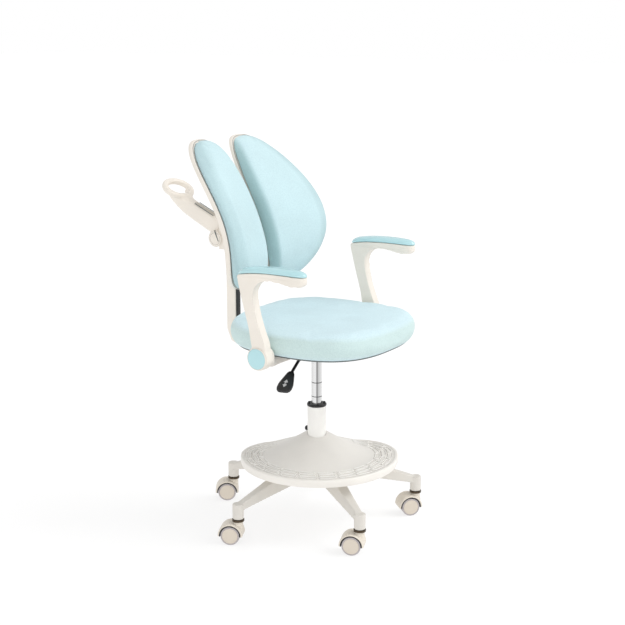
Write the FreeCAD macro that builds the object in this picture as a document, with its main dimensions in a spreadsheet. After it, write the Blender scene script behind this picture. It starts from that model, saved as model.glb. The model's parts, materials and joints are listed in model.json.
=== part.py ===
"""Child's swivel desk chair: five-star base on casters, height-adjustable footrest plate, gas lift,
padded seat, flip-up arms and a split back of two sprung pads on a height-adjustable carrier.

Millimetres, +Z up. The origin is on the column axis at floor level and the chair faces -Y, so the
sitter's right hand is at -X.
"""
import FreeCAD, Part
import math
import os
import re

import Sketcher

DIMENSIONS = {
    # Star base: leg i points along (sin a, -cos a) with a = leg_heading + i * leg_step.
    "leg_heading": -33,
    "leg_step": 72,
    "caster_ring_radius": 274,
    "hub_radius": 44,
    "hub_bottom": 106,
    "hub_top": 166,
    "leg_root_reach": 36,
    "leg_root_low": 133,
    "leg_root_high": 165,
    "leg_root_width": 50,
    "leg_middle_reach": 160,
    "leg_middle_low": 112,
    "leg_middle_high": 146,
    "leg_middle_width": 42,
    "leg_end_reach": 266,
    "leg_end_low": 92,
    "leg_end_high": 110,
    "leg_end_width": 31,
    "leg_draft": 6.5,
    "socket_radius": 15,
    "socket_bottom": 66.3,
    "socket_top": 108,
    "socket_bore_top": 99,
    # Casters: the axle trails the swivel stem.
    "stem_pin_radius": 5.5,
    "stem_clearance": 0.06,
    "stem_pin_top": 97,
    "stem_flange_radius": 16,
    "stem_flange_low": 61,
    "stem_flange_high": 66,
    "caster_trail": 19,
    "wheel_radius": 25,
    "wheel_width": 19,
    "wheel_inner_gap": 4,
    "wheel_clearance": 3.5,
    "hood_wall": 4,
    "hood_half_width": 24,
    "hood_skirt": 23,
    "hood_web_half": 3.5,
    "hood_web_radius": 20,
    "hood_boss_radius": 13,
    "axle_radius": 3,
    "axle_clearance": 0.05,
    "axle_half_length": 21.5,
    # Gas lift: outer column, bush, rod, and the cylinder that carries the seat.
    "column_radius": 25,
    "column_bore": 22,
    "column_bottom": 96,
    "column_top": 319,
    "column_floor": 6,
    "bush_flange_radius": 26.5,
    "bush_flange_top": 326,
    "bush_bottom": 250,
    "cylinder_radius": 14,
    "cylinder_bottom": 196,
    "cylinder_top": 470,
    "cylinder_bore": 10,
    "cylinder_bore_low": 204,
    "cylinder_bore_high": 455,
    "slide_gap": 0.3,
    "rod_radius": 5,
    "rod_bottom": 90,
    "rod_top": 370,
    "rod_fit": 0.05,
    "shoulder_radius": 9,
    "shoulder_low": 107.2,
    "shoulder_high": 112,
    "bearing_radius": 11,
    "bearing_height": 5,
    "clip_radius": 10,
    "clip_low": 93,
    "clip_high": 95.7,
    "button_radius": 4,
    "button_low": 458,
    "button_high": 474,
    # Footrest plate: round in front, cut short behind, with a bell that climbs to the column.
    "plate_heading": -53,
    "plate_radius": 214,
    "plate_back_depth": 110,
    "plate_side_shift": 7,
    "plate_low": 162,
    "plate_high": 183,
    "plate_wall": 4,
    "bell_rearward": 10,
    "bell_foot_radius": 155,
    "bell_skirt_radius": 100,
    "bell_skirt_rise": 20,
    "bell_waist_radius": 60,
    "bell_waist_rise": 42,
    "bell_neck_radius": 44,
    "bell_neck_rise": 54,
    "bell_top_radius": 32,
    "bell_rise": 63,
    "bell_wall": 4,
    "footrest_bore": 25.3,
    "sleeve_radius": 30,
    "sleeve_bottom": 166.3,
    "knob_heading": 163,
    "knob_height": 245,
    "knob_radius": 7,
    "knob_length": 11,
    "knob_reach": 33,
    "knob_gap": 0.4,
    "knob_stud_radius": 3,
    "knob_boss_radius": 7,
    "knob_pocket_gap": 1.5,
    # Seat mechanism, pan and cushion.
    "mech_half_width": 52,
    "mech_front": -56,
    "mech_rear": 60,
    "mech_low": 465,
    "mech_boss_low": 458,
    "mech_high": 497,
    "mech_wall": 4,
    "mech_boss_radius": 22,
    "mech_slot_half": 14,
    "seat_centre_back": -21,
    "seat_width": 456,
    "seat_depth": 448,
    "seat_corner": 168,
    "pan_inset": 46,
    "pan_thickness": 8,
    "cushion_height": 68,
    "cushion_edge": 26,
    "cushion_lower_edge": 14,
    "bolt_radius": 3,
    "bolt_head_radius": 6.5,
    "bolt_head_height": 4,
    "bolt_spacing_x": 80,
    "bolt_spacing_y": 80,
    # Height lever: a bent rod and a flat paddle on the sitter's right.
    "lever_turn": 13,
    "lever_height": 478.2,
    "lever_radius": 4,
    "lever_inner": 2,
    "lever_bend_reach": 133,
    "lever_run": 56,
    "lever_drop": 21,
    "lever_tang": 14,
    "paddle_run": 58,
    "paddle_drop": 32,
    "paddle_narrow": 23,
    "paddle_wide": 41,
    "paddle_thickness": 11,
    # Flip-up arms.
    "pivot_y": -6,
    "pivot_z": 512,
    "arm_inner_x": 252.3,
    "arm_thickness": 28,
    "arm_boss_radius": 31,
    "arm_pad_width": 50,
    "cap_radius": 28.5,
    "cap_thickness": 5,
    "pin_radius": 6,
    "pin_fit": 0.06,
    "pin_inner_x": 238,
    "bracket_boss_radius": 28,
    "bracket_boss_inner_x": 236,
    "bracket_front": 0,
    "bracket_back": 26,
    "bracket_low": 473,
    # Back upright and the carrier that slides on it.
    "upright_width": 26,
    "upright_front": 261,
    "upright_back": 291,
    "upright_top": 800,
    "upright_low": 452,
    "upright_bend": 44,
    "trim_width": 18,
    "trim_thickness": 2.5,
    "trim_low": 504,
    "trim_high": 715,
    "carrier_low": 722,
    "carrier_high": 792,
    "carrier_front": 240,
    "carrier_back": 300,
    "carrier_width": 60,
    "carrier_gap": 0.35,
    "hinge_x": 45,
    "hinge_y": 212,
    "hinge_pin_radius": 4,
    "hinge_fit": 0.06,
    "hinge_barrel_radius": 9,
    "hinge_barrel_low": 732,
    "hinge_barrel_high": 776,
    "hinge_lug": 8,
    "hub_barrel_radius": 23,
    "hub_barrel_y": 311,
    "hub_barrel_z": 750,
    "hub_barrel_width": 64,
    # Rear loop handle.
    "handle_start": -12,
    "handle_lift": 25,
    "handle_width": 30,
    "handle_thickness": 41,
    "handle_length": 158,
    "handle_slope": 24.6,
    "loop_y": 464,
    "loop_z": 872,
    "loop_radius": 46,
    "loop_hole": 30,
    "loop_thickness": 12,
    "loop_tilt": 30,
    # Back pads: a Bezier spine in side view, a superellipse outline from behind.
    "spine_y_one": 182,
    "spine_y_two": 155,
    "spine_y_three": 209,
    "spine_y_four": 320,
    "spine_z_one": 628,
    "spine_z_two": 730,
    "spine_z_three": 850,
    "spine_z_four": 1024,
    "back_bottom": 640,
    "back_top": 1022,
    "back_inner_x": 15,
    "back_width": 206,
    "back_widest_z": 808,
    "back_outline_power": 2.6,
    "back_wrap_edge": 0.08,
    "back_wrap_middle": 0.255,
    "back_pad_thickness": 37,
    "back_pad_edge": 36,
    "back_pad_crown": 0.3,
    "back_outer_wall": 15,
    "back_inner_wall": 29,
    "back_inner_edge": 16,
    "back_shell_thickness": 12,
}

CASTER_HEADINGS = (-68, -43, -50, -54, -64)
SIDES = (("right", -1), ("left", 1))
STEEP = 76
SECTION_COUNT = 13

doc = FreeCAD.newDocument("swivel_chair")
sheet = doc.addObject("Spreadsheet::Sheet", "Dimensions")
for row, (word, number) in enumerate(DIMENSIONS.items(), start=1):
    sheet.set(f"A{row}", word)
    sheet.set(f"B{row}", str(number))
    sheet.setAlias(f"B{row}", word)
doc.recompute()

nodes = []


def size(word):
    """A driving dimension, read from the sheet."""
    return float(sheet.get(word))


def formula(text):
    """Point each dimension named in a formula at the sheet."""
    return re.sub(r"[a-z_]\w*", lambda m: f"Dimensions.{m[0]}" if m[0] in DIMENSIONS else m[0], str(text))


def bind(item, **properties):
    for name, text in properties.items():
        item.setExpression(name, formula(text))
    return item


def place(item, x=0, y=0, z=0, turn=None, axis=(0, 0, 1)):
    """Put an object at x, y, z, turned about an axis; every value is a formula."""
    item.Placement = FreeCAD.Placement(FreeCAD.Vector(), FreeCAD.Rotation(FreeCAD.Vector(*axis), 1))
    for name, text in (("x", x), ("y", y), ("z", z)):
        item.setExpression(f"Placement.Base.{name}", formula(text))
    if turn is None:
        item.Placement = FreeCAD.Placement()
    else:
        item.setExpression("Placement.Rotation.Angle", formula(turn))
    return item


def keep(item, label):
    """Name an object as one of the chair's pieces."""
    item.Label = label
    nodes.append(item)
    return item


def cylinder(radius, low, high, x=0, y=0):
    item = doc.addObject("Part::Cylinder", "cylinder")
    bind(item, Radius=radius, Height=f"({high}) - ({low})")
    return place(item, x, y, low)


def cross_cylinder(radius, low, high, y, z):
    """A cylinder along X between two X values."""
    item = doc.addObject("Part::Cylinder", "cross_cylinder")
    bind(item, Radius=radius, Height=f"({high}) - ({low})")
    return place(item, low, y, z, 90, (0, 1, 0))


def side_cylinder(radius, low, high, x, z):
    """A cylinder along Y between two Y values."""
    item = doc.addObject("Part::Cylinder", "side_cylinder")
    bind(item, Radius=radius, Height=f"({high}) - ({low})")
    return place(item, x, low, z, -90, (1, 0, 0))


def block(x_low, x_high, y_low, y_high, z_low, z_high):
    item = doc.addObject("Part::Box", "block")
    bind(item, Length=f"({x_high}) - ({x_low})", Width=f"({y_high}) - ({y_low})",
         Height=f"({z_high}) - ({z_low})")
    return place(item, x_low, y_low, z_low)


def fuse(*items):
    item = doc.addObject("Part::MultiFuse", "fused")
    item.Shapes = list(items)
    item.Refine = True
    return item


def cut(base, *tools):
    item = doc.addObject("Part::Cut", "cut")
    item.Base = base
    item.Tool = tools[0] if len(tools) == 1 else fuse(*tools)
    return item


def common(base, tool):
    item = doc.addObject("Part::Common", "common")
    item.Base = base
    item.Tool = tool
    return item


def ring(outer, inner, low, high):
    return cut(cylinder(outer, low, high), cylinder(inner, f"{low} - 1", f"{high} + 1"))


def sketch_on(body, plane):
    sketch = body.newObject("Sketcher::SketchObject", "outline")
    origin_plane = next(f for f in body.Origin.OriginFeatures if f.Role == plane)
    sketch.AttachmentSupport = [(origin_plane, "")]
    sketch.MapMode = "FlatFace"
    return sketch


def pin_point(sketch, edge, end, across, up):
    """Hold one sketch point at formulas measured from the sketch's origin."""
    for kind, text in (("DistanceX", across), ("DistanceY", up)):
        index = sketch.addConstraint(Sketcher.Constraint(kind, -1, 1, edge, end, 1.0))
        sketch.setExpression(f"Constraints[{index}]", formula(text))


def draw_polygon(sketch, corners):
    """A closed polygon whose corners are pairs of formulas."""
    points = [FreeCAD.Vector(value(a), value(b), 0) for a, b in corners]
    for index, point in enumerate(points):
        sketch.addGeometry(Part.LineSegment(point, points[(index + 1) % len(points)]), False)
    for index in range(len(points)):
        following = (index + 1) % len(points)
        sketch.addConstraint(Sketcher.Constraint("Coincident", index, 2, following, 1))
    for index, (across, up) in enumerate(corners):
        pin_point(sketch, index, 1, across, up)


def value(text):
    """The present value of a formula, in millimetres."""
    return float(sheet.evalExpression(formula(text)))


def polygon_body(plane, corners, length, symmetric=True):
    """A body padded from a polygon on one of its origin planes."""
    body = doc.addObject("PartDesign::Body", "body")
    sketch = sketch_on(body, plane)
    draw_polygon(sketch, corners)
    pad = body.newObject("PartDesign::Pad", "pad")
    pad.Profile = sketch
    pad.Midplane = symmetric
    bind(pad, Length=length)
    doc.recompute()
    return body


def rounded_plate_body(width, depth, corner, height):
    """A body padded up from a rectangle centred on the body's origin, with its corners rounded."""
    x, y = f"({width}) / 2", f"({depth}) / 2"
    corners = ((f"-{x}", f"-{y}"), (x, f"-{y}"), (x, y), (f"-{x}", y))
    body = polygon_body("XY_Plane", corners, height, symmetric=False)
    pad = body.Tip
    rounding = body.newObject("PartDesign::Fillet", "corners")
    rounding.Base = (pad, upright_edges(pad.Shape))
    bind(rounding, Radius=corner)
    doc.recompute()
    return body, rounding


def upright_edges(shape):
    """Names of the edges that run along Z."""
    found = []
    for index, edge in enumerate(shape.Edges, start=1):
        box = edge.BoundBox
        if box.XLength < 0.01 and box.YLength < 0.01:
            found.append(f"Edge{index}")
    return found


def flat_edges(shape, height):
    """Names of the edges that lie at one height."""
    found = []
    for index, edge in enumerate(shape.Edges, start=1):
        box = edge.BoundBox
        if abs(box.ZMin - height) < 0.01 and abs(box.ZMax - height) < 0.01:
            found.append(f"Edge{index}")
    return found


# ---------------------------------------------------------------- star base and gas lift


def leg_section(body, reach, low, high, width):
    """A trapezoid across a leg, narrower at the top, at one distance from the column."""
    sketch = sketch_on(body, "YZ_Plane")
    sketch.setExpression("AttachmentOffset.Base.z", formula(reach))
    half = f"{width} / 2"
    draw_polygon(sketch, ((f"-({half})", low), (half, low), (f"{half} - leg_draft", high),
                          (f"-({half}) + leg_draft", high)))
    return sketch


def star_base():
    """Hub, five tapering legs and the caster sockets at their ends."""
    body = doc.addObject("PartDesign::Body", "leg")
    root = leg_section(body, "leg_root_reach", "leg_root_low", "leg_root_high", "leg_root_width")
    middle = leg_section(body, "leg_middle_reach", "leg_middle_low", "leg_middle_high", "leg_middle_width")
    end = leg_section(body, "leg_end_reach", "leg_end_low", "leg_end_high", "leg_end_width")
    loft = body.newObject("PartDesign::AdditiveLoft", "leg_loft")
    loft.Profile = root
    loft.Sections = [middle, end]
    loft.Ruled = True
    doc.recompute()
    legs = []
    for index in range(5):
        leg = doc.addObject("Part::MultiFuse", "leg_and_socket")
        socket = cylinder("socket_radius", "socket_bottom", "socket_top", x="caster_ring_radius")
        leg.Shapes = [body, socket]
        bore = cylinder("stem_pin_radius + stem_clearance", "socket_bottom - 1", "socket_bore_top",
                        x="caster_ring_radius")
        legs.append(place(cut(leg, bore), turn=f"leg_heading - 90 + {index} * leg_step"))
    hub = cylinder("hub_radius", "hub_bottom", "hub_top")
    bore = cylinder("column_radius", "hub_bottom - 10", "hub_top + 10")
    keep(cut(fuse(hub, *legs), bore), "star_base")


def gas_lift():
    column = cylinder("column_radius", "column_bottom", "column_top")
    bore = cylinder("column_bore", "column_bottom + column_floor", "column_top + 1")
    rod_hole = cylinder("rod_radius + slide_gap", "column_bottom - 1", "column_bottom + column_floor + 1")
    keep(cut(column, bore, rod_hole), "lift_column")

    bearing_low = "column_bottom + column_floor"
    keep(ring("bearing_radius", "rod_radius + slide_gap", bearing_low, f"{bearing_low} + bearing_height"),
         "thrust_bearing")

    sleeve = cylinder("column_bore", "bush_bottom", "column_top")
    flange = cylinder("bush_flange_radius", "column_top", "bush_flange_top")
    bush_bore = cylinder("cylinder_radius + slide_gap", "bush_bottom - 1", "bush_flange_top + 1")
    keep(cut(fuse(sleeve, flange), bush_bore), "guide_bush")

    rod = cylinder("rod_radius", "rod_bottom", "rod_top")
    keep(fuse(rod, cylinder("shoulder_radius", "shoulder_low", "shoulder_high")), "piston_rod")
    keep(ring("clip_radius", "rod_radius", "clip_low", "clip_high"), "rod_clip")

    barrel = cylinder("cylinder_radius", "cylinder_bottom", "cylinder_top")
    chamber = cylinder("cylinder_bore", "cylinder_bore_low", "cylinder_bore_high")
    rod_guide = cylinder("rod_radius + rod_fit", "cylinder_bottom - 1", "cylinder_bore_low + 1")
    valve_bore = cylinder("button_radius + rod_fit", "cylinder_bore_high - 1", "cylinder_top + 1")
    keep(cut(barrel, chamber, rod_guide, valve_bore), "gas_cylinder")
    keep(cylinder("button_radius", "button_low", "button_high"), "valve_button")


# ---------------------------------------------------------------- casters


def caster_hood():
    """Roof over both wheels, the web between them and the boss that takes the stem."""
    roof = side_cylinder("wheel_radius + wheel_clearance + hood_wall", "-hood_half_width", "hood_half_width",
                         "-caster_trail", "wheel_radius")
    boss = cylinder("hood_boss_radius", "hood_skirt", "stem_flange_low")
    skirt = block(-100, 100, -50, 50, -100, "hood_skirt")
    body = cut(fuse(roof, boss), skirt)
    pockets = [side_cylinder("wheel_radius + wheel_clearance", low, high, "-caster_trail", "wheel_radius")
               for low, high in (("hood_web_half", "hood_half_width + 1"),
                                 ("-hood_half_width - 1", "-hood_web_half"))]
    web = side_cylinder("hood_web_radius", "-hood_web_half", "hood_web_half", "-caster_trail", "wheel_radius")
    axle_bore = side_cylinder("axle_radius", -50, 50, "-caster_trail", "wheel_radius")
    stem_bore = cylinder("stem_pin_radius", "stem_flange_low - 14", "stem_flange_low + 1")
    return cut(fuse(cut(body, *pockets), web), axle_bore, stem_bore)


def caster_wheel(side):
    low = f"{side} * wheel_inner_gap" if side > 0 else "-wheel_inner_gap - wheel_width"
    high = f"({low}) + wheel_width"
    tread = side_cylinder("wheel_radius", low, high, "-caster_trail", "wheel_radius")
    bore = side_cylinder("axle_radius + axle_clearance", f"({low}) - 1", f"({high}) + 1", "-caster_trail",
                         "wheel_radius")
    return cut(tread, bore)


def caster(index, heading):
    """One twin-wheel caster, built at its stem and then put under its leg."""
    pin = cylinder("stem_pin_radius", "stem_flange_low - 14", "stem_pin_top")
    flange = cylinder("stem_flange_radius", "stem_flange_low", "stem_flange_high")
    axle = side_cylinder("axle_radius", "-axle_half_length", "axle_half_length", "-caster_trail",
                         "wheel_radius")
    axle_pip = side_cylinder("axle_radius / 2", "-axle_half_length - 0.6", "axle_half_length + 0.6",
                             "-caster_trail", "wheel_radius")
    pieces = {
        "stem": fuse(pin, flange),
        "hood": caster_hood(),
        "axle": fuse(axle, axle_pip),
        "wheel_a": caster_wheel(-1),
        "wheel_b": caster_wheel(1),
    }
    angle = f"leg_heading + {index} * leg_step"
    for word, piece in pieces.items():
        place(piece, f"caster_ring_radius * sin({angle})", f"-caster_ring_radius * cos({angle})", 0, heading)
        keep(piece, f"caster_{index + 1}_{word}")


# ---------------------------------------------------------------- footrest


def footrest_outline(inset, low, high):
    """Half a disc in front; behind it a straight back edge with round corners as deep as the back part."""
    radius, depth = f"plate_radius - {inset}", f"plate_back_depth - {inset}"
    corner_x = "plate_radius - plate_back_depth"
    front = common(cylinder(radius, low, high),
                   block("-plate_radius", "plate_radius", "-plate_radius", 0, low, high))
    corners = [cylinder(depth, low, high, x=f"{side} * ({corner_x})") for side in (-1, 1)]
    middle = block(f"-({corner_x})", corner_x, 0, depth, low, high)
    outline = fuse(front, *corners, middle)
    return place(outline, "plate_side_shift * cos(plate_heading)", "plate_side_shift * sin(plate_heading)", 0,
                 "plate_heading")


def bell(shrink, inset):
    """The bell that rises to the column: a turned shape kept inside the plate's outline."""
    body = doc.addObject("PartDesign::Body", "bell")
    sketch = sketch_on(body, "XZ_Plane")
    flank = (("bell_foot_radius", "0.2"), ("bell_skirt_radius", "bell_skirt_rise"),
             ("bell_waist_radius", "bell_waist_rise"), ("bell_neck_radius", "bell_neck_rise"),
             ("bell_top_radius", "bell_rise"))
    corners = [("0.001", "plate_high - plate_wall - 1"), ("bell_foot_radius", "plate_high - plate_wall - 1")]
    corners += [(f"{radius} - {shrink}", f"plate_high + {rise} - {shrink}") for radius, rise in flank]
    corners += [("0.001", f"plate_high + bell_rise - {shrink}")]
    draw_polygon(sketch, corners)
    revolve = body.newObject("PartDesign::Revolution", "revolve")
    revolve.Profile = sketch
    revolve.ReferenceAxis = (sketch, ["V_Axis"])
    revolve.Angle = 360
    place(body, "-bell_rearward * sin(plate_heading)", "bell_rearward * cos(plate_heading)", 0)
    doc.recompute()
    return common(body, footrest_outline(inset, "plate_low", "plate_high + bell_rise + 1"))


def knob_cylinder(radius, start, end):
    """A cylinder along the lock knob's axis, between two distances from the column axis."""
    item = doc.addObject("Part::Cylinder", "knob_cylinder")
    bind(item, Radius=radius, Height=f"({end}) - ({start})")
    heading = FreeCAD.Rotation(FreeCAD.Vector(0, 0, 1), size("knob_heading"))
    item.Placement.Rotation = heading.multiply(FreeCAD.Rotation(FreeCAD.Vector(1, 0, 0), 90))
    for axis, text in (("x", f"({start}) * sin(knob_heading)"), ("y", f"-({start}) * cos(knob_heading)"),
                       ("z", "knob_height")):
        item.setExpression(f"Placement.Base.{axis}", formula(text))
    return item


def footrest():
    """Dished plate, its bell and sleeve, and the lock knob whose stud bears on the column."""
    shell = cut(fuse(footrest_outline(0, "plate_low", "plate_high"), bell("0", "0")),
                footrest_outline("plate_wall", "plate_low - 1", "plate_high - plate_wall"),
                bell("bell_wall", "plate_wall"))
    sleeve = cylinder("sleeve_radius", "sleeve_bottom", "plate_high + bell_rise")
    boss = knob_cylinder("knob_boss_radius", "footrest_bore - 1", "knob_reach")
    bore = cylinder("footrest_bore", "plate_low - 1", "knob_height + knob_boss_radius + 1")
    stud_bore = knob_cylinder("knob_stud_radius + pin_fit", 0, "knob_reach + 10")
    pocket = knob_cylinder("knob_radius + knob_pocket_gap", "knob_reach", "knob_reach + 2 * knob_length")
    keep(cut(fuse(shell, sleeve, boss), bore, stud_bore, pocket), "footrest_plate")

    grip = knob_cylinder("knob_radius", "knob_reach + knob_gap", "knob_reach + knob_gap + knob_length")
    stud = knob_cylinder("knob_stud_radius", "footrest_bore", "knob_reach + knob_gap + 1")
    keep(fuse(grip, stud), "footrest_knob")


# ---------------------------------------------------------------- seat


def seat():
    outer = block("-mech_half_width", "mech_half_width", "mech_front", "mech_rear", "mech_low", "mech_high")
    inner = block("-mech_half_width + mech_wall", "mech_half_width - mech_wall", "mech_front + mech_wall",
                  "mech_rear - mech_wall", "mech_low + mech_wall", "mech_high + 1")
    boss = cylinder("mech_boss_radius", "mech_boss_low", "cylinder_top")
    ledges = [block(f"{x} * bolt_spacing_x / 2 - 9", f"{x} * bolt_spacing_x / 2 + 9",
                    f"{y} * bolt_spacing_y / 2 - 14", f"{y} * bolt_spacing_y / 2 + 6",
                    "mech_high - 4", "mech_high")
              for x in (-1, 1) for y in (-1, 1)]
    bolt_holes = [cylinder("bolt_radius", "mech_high - 10", "mech_high + 1", f"{x} * bolt_spacing_x / 2",
                           f"{y} * bolt_spacing_y / 2 - 5")
                  for x in (-1, 1) for y in (-1, 1)]
    socket = cylinder("cylinder_radius", "mech_boss_low - 1", "cylinder_top + 1")
    slot = block("-mech_half_width - 1", "-mech_half_width + mech_wall + 1",
                 "-mech_half_width * sin(lever_turn) - mech_slot_half",
                 "-mech_half_width * sin(lever_turn) + mech_slot_half", "cylinder_top", "mech_high + 1")
    keep(cut(fuse(cut(outer, inner), boss, *ledges), socket, slot, *bolt_holes), "seat_mechanism")

    pan, _ = rounded_plate_body("seat_width - 2 * pan_inset", "seat_depth - 2 * pan_inset",
                                "seat_corner - pan_inset", "pan_thickness")
    place(pan, 0, "seat_centre_back", "mech_high")
    pan_holes = [cylinder("bolt_radius", "mech_high - 1", "mech_high + 20", f"{x} * bolt_spacing_x / 2",
                          f"{y} * bolt_spacing_y / 2 - 5")
                 for x in (-1, 1) for y in (-1, 1)]
    keep(cut(pan, *pan_holes), "seat_pan")

    cushion, pad = rounded_plate_body("seat_width", "seat_depth", "seat_corner", "cushion_height")
    for height, radius in (("cushion_height", "cushion_edge"), ("0", "cushion_lower_edge")):
        rounding = cushion.newObject("PartDesign::Fillet", "rounding")
        rounding.Base = (pad, flat_edges(pad.Shape, value(height)))
        bind(rounding, Radius=radius)
        doc.recompute()
        pad = rounding
    keep(place(cushion, 0, "seat_centre_back", "mech_high + pan_thickness"), "seat_cushion")

    shanks = [cylinder("bolt_radius", "mech_high - 6", "mech_high + pan_thickness",
                       f"{x} * bolt_spacing_x / 2", f"{y} * bolt_spacing_y / 2 - 5")
              for x in (-1, 1) for y in (-1, 1)]
    heads = [cylinder("bolt_head_radius", "mech_high - 4 - bolt_head_height", "mech_high - 4",
                      f"{x} * bolt_spacing_x / 2", f"{y} * bolt_spacing_y / 2 - 5")
             for x in (-1, 1) for y in (-1, 1)]
    keep(fuse(*shanks, *heads), "seat_bolts")


def lever():
    """Bent steel rod whose inner end presses the valve button, and the moulded paddle on its outer end."""
    height, radius = size("lever_height"), size("lever_radius")
    start = FreeCAD.Vector(size("lever_inner"), 0, height)
    bend = FreeCAD.Vector(-size("lever_bend_reach"), 0, height)
    neck = bend + FreeCAD.Vector(-size("lever_run"), 0, -size("lever_drop"))
    along = FreeCAD.Vector(-size("paddle_run"), 0, -size("paddle_drop"))
    tang = neck + along * (size("lever_tang") / along.Length)
    path = (start, bend, neck, tang)
    tubes = [Part.makeCylinder(radius, (end - begin).Length, begin, end - begin)
             for begin, end in zip(path, path[1:])]
    rod = tubes[0].fuse(tubes[1:] + [Part.makeSphere(radius, corner) for corner in (bend, neck)])
    rod_item = doc.addObject("Part::Feature", "lever_rod")
    rod_item.Shape = rod.removeSplitter()
    rod_item.Placement = FreeCAD.Placement(FreeCAD.Vector(), FreeCAD.Rotation(FreeCAD.Vector(0, 0, 1),
                                                                             size("lever_turn")))
    keep(rod_item, "lever_rod")

    thickness = FreeCAD.Vector(along.z, 0, -along.x).normalize() * size("paddle_thickness")
    narrow = FreeCAD.Vector(0, size("paddle_narrow") / 2, 0)
    wide = FreeCAD.Vector(0, size("paddle_wide") / 2, 0)
    base = neck - thickness / 2
    shoulder, tip = base + along * 0.6, base + along
    corners = [base - narrow, base + narrow, shoulder + wide, tip + wide * 0.75, tip - wide * 0.75,
               shoulder - wide]
    face = Part.Face(Part.makePolygon(corners + corners[:1]))
    paddle = face.extrude(thickness).cut(rod)
    paddle_item = doc.addObject("Part::Feature", "lever_paddle")
    paddle_item.Shape = max(paddle.Solids, key=lambda solid: solid.Volume)
    paddle_item.Placement = rod_item.Placement
    keep(paddle_item, "lever_paddle")


# ---------------------------------------------------------------- arms

# Side view of an arm as (y, z) from the pivot: up the back, over the top, round the hook, down the front.
ARM_PROFILE = ((14, 25), (27, 74), (37, 107), (46, 138), (54, 168), (60, 200), (60, 210), (48, 214),
               (15, 218), (-15, 220.5), (-50, 222), (-80, 222), (-108, 220), (-132, 217.5), (-138, 211),
               (-137, 202), (-126, 196), (-112, 194), (-98, 195), (-71, 200), (-40, 203.5), (-20, 201.5),
               (-6, 195), (5, 184), (12, 168), (12, 140), (4, 108), (-10, 68), (-26, 30), (-30, 12))
ARM_PAD_PROFILE = ((60, 210.3), (48, 214.3), (15, 218.3), (-15, 220.8), (-50, 222.3), (-80, 222.3),
                   (-108, 220.3), (-132, 217.8), (-139, 221), (-134, 228), (-118, 233), (-85, 236),
                   (-50, 235), (-15, 233), (20, 229), (52, 223), (62, 217))


def arm(word, side):
    def reach(text):
        return f"{side} * ({text})"

    def span(inner, outer):
        return (reach(inner), reach(outer)) if side > 0 else (reach(outer), reach(inner))

    outer_x = "arm_inner_x + arm_thickness"
    profile = [(f"pivot_y + {y}", f"pivot_z + {z}") for y, z in ARM_PROFILE]
    blade = polygon_body("YZ_Plane", profile, "arm_thickness - 2")
    place(blade, reach("arm_inner_x + arm_thickness / 2"))
    boss = cross_cylinder("arm_boss_radius", *span("arm_inner_x", outer_x), "pivot_y", "pivot_z")
    pin_bore = cross_cylinder("pin_radius + pin_fit", *span("arm_inner_x - 1", outer_x + " + 1"), "pivot_y",
                              "pivot_z")
    keep(cut(fuse(blade, boss), pin_bore), f"arm_frame_{word}")

    pad_profile = [(f"pivot_y + {y}", f"pivot_z + {z}") for y, z in ARM_PAD_PROFILE]
    pad = polygon_body("YZ_Plane", pad_profile, "arm_pad_width")
    keep(place(pad, reach("arm_inner_x + arm_thickness / 2")), f"arm_pad_{word}")

    keep(cross_cylinder("cap_radius", *span(outer_x, outer_x + " + cap_thickness"), "pivot_y", "pivot_z"),
         f"arm_cap_{word}")
    keep(cross_cylinder("pin_radius", *span("pin_inner_x", outer_x + " - 0.5"), "pivot_y", "pivot_z"),
         f"arm_pin_{word}")

    bracket_boss = cross_cylinder("bracket_boss_radius",
                                  *span("bracket_boss_inner_x", "arm_inner_x - slide_gap"),
                                  "pivot_y", "pivot_z")
    bar = block(*span("mech_half_width", "arm_inner_x - slide_gap"), "bracket_front", "bracket_back",
                "bracket_low", "mech_high")
    bracket_bore = cross_cylinder("pin_radius", *span("pin_inner_x", "arm_inner_x + 1"), "pivot_y", "pivot_z")
    keep(cut(fuse(bracket_boss, bar), bracket_bore), f"arm_bracket_{word}")


# ---------------------------------------------------------------- back


def upright():
    """One bar that runs back under the seat and turns up behind it."""
    profile = (
        ("mech_rear", "upright_low"),
        ("upright_back - upright_bend", "upright_low"),
        ("upright_back - upright_bend * 0.3", "upright_low + upright_bend * 0.3"),
        ("upright_back", "upright_low + upright_bend"),
        ("upright_back", "upright_top"),
        ("upright_front", "upright_top"),
        ("upright_front", "upright_low + upright_bend + 4"),
        ("upright_front - 14", "upright_low + 30"),
        ("mech_rear", "upright_low + 30"),
    )
    keep(polygon_body("YZ_Plane", profile, "upright_width"), "back_upright")
    trim = block("-trim_width / 2", "trim_width / 2", "upright_front - trim_thickness", "upright_front",
                 "trim_low", "trim_high")
    keep(trim, "upright_trim")


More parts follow.
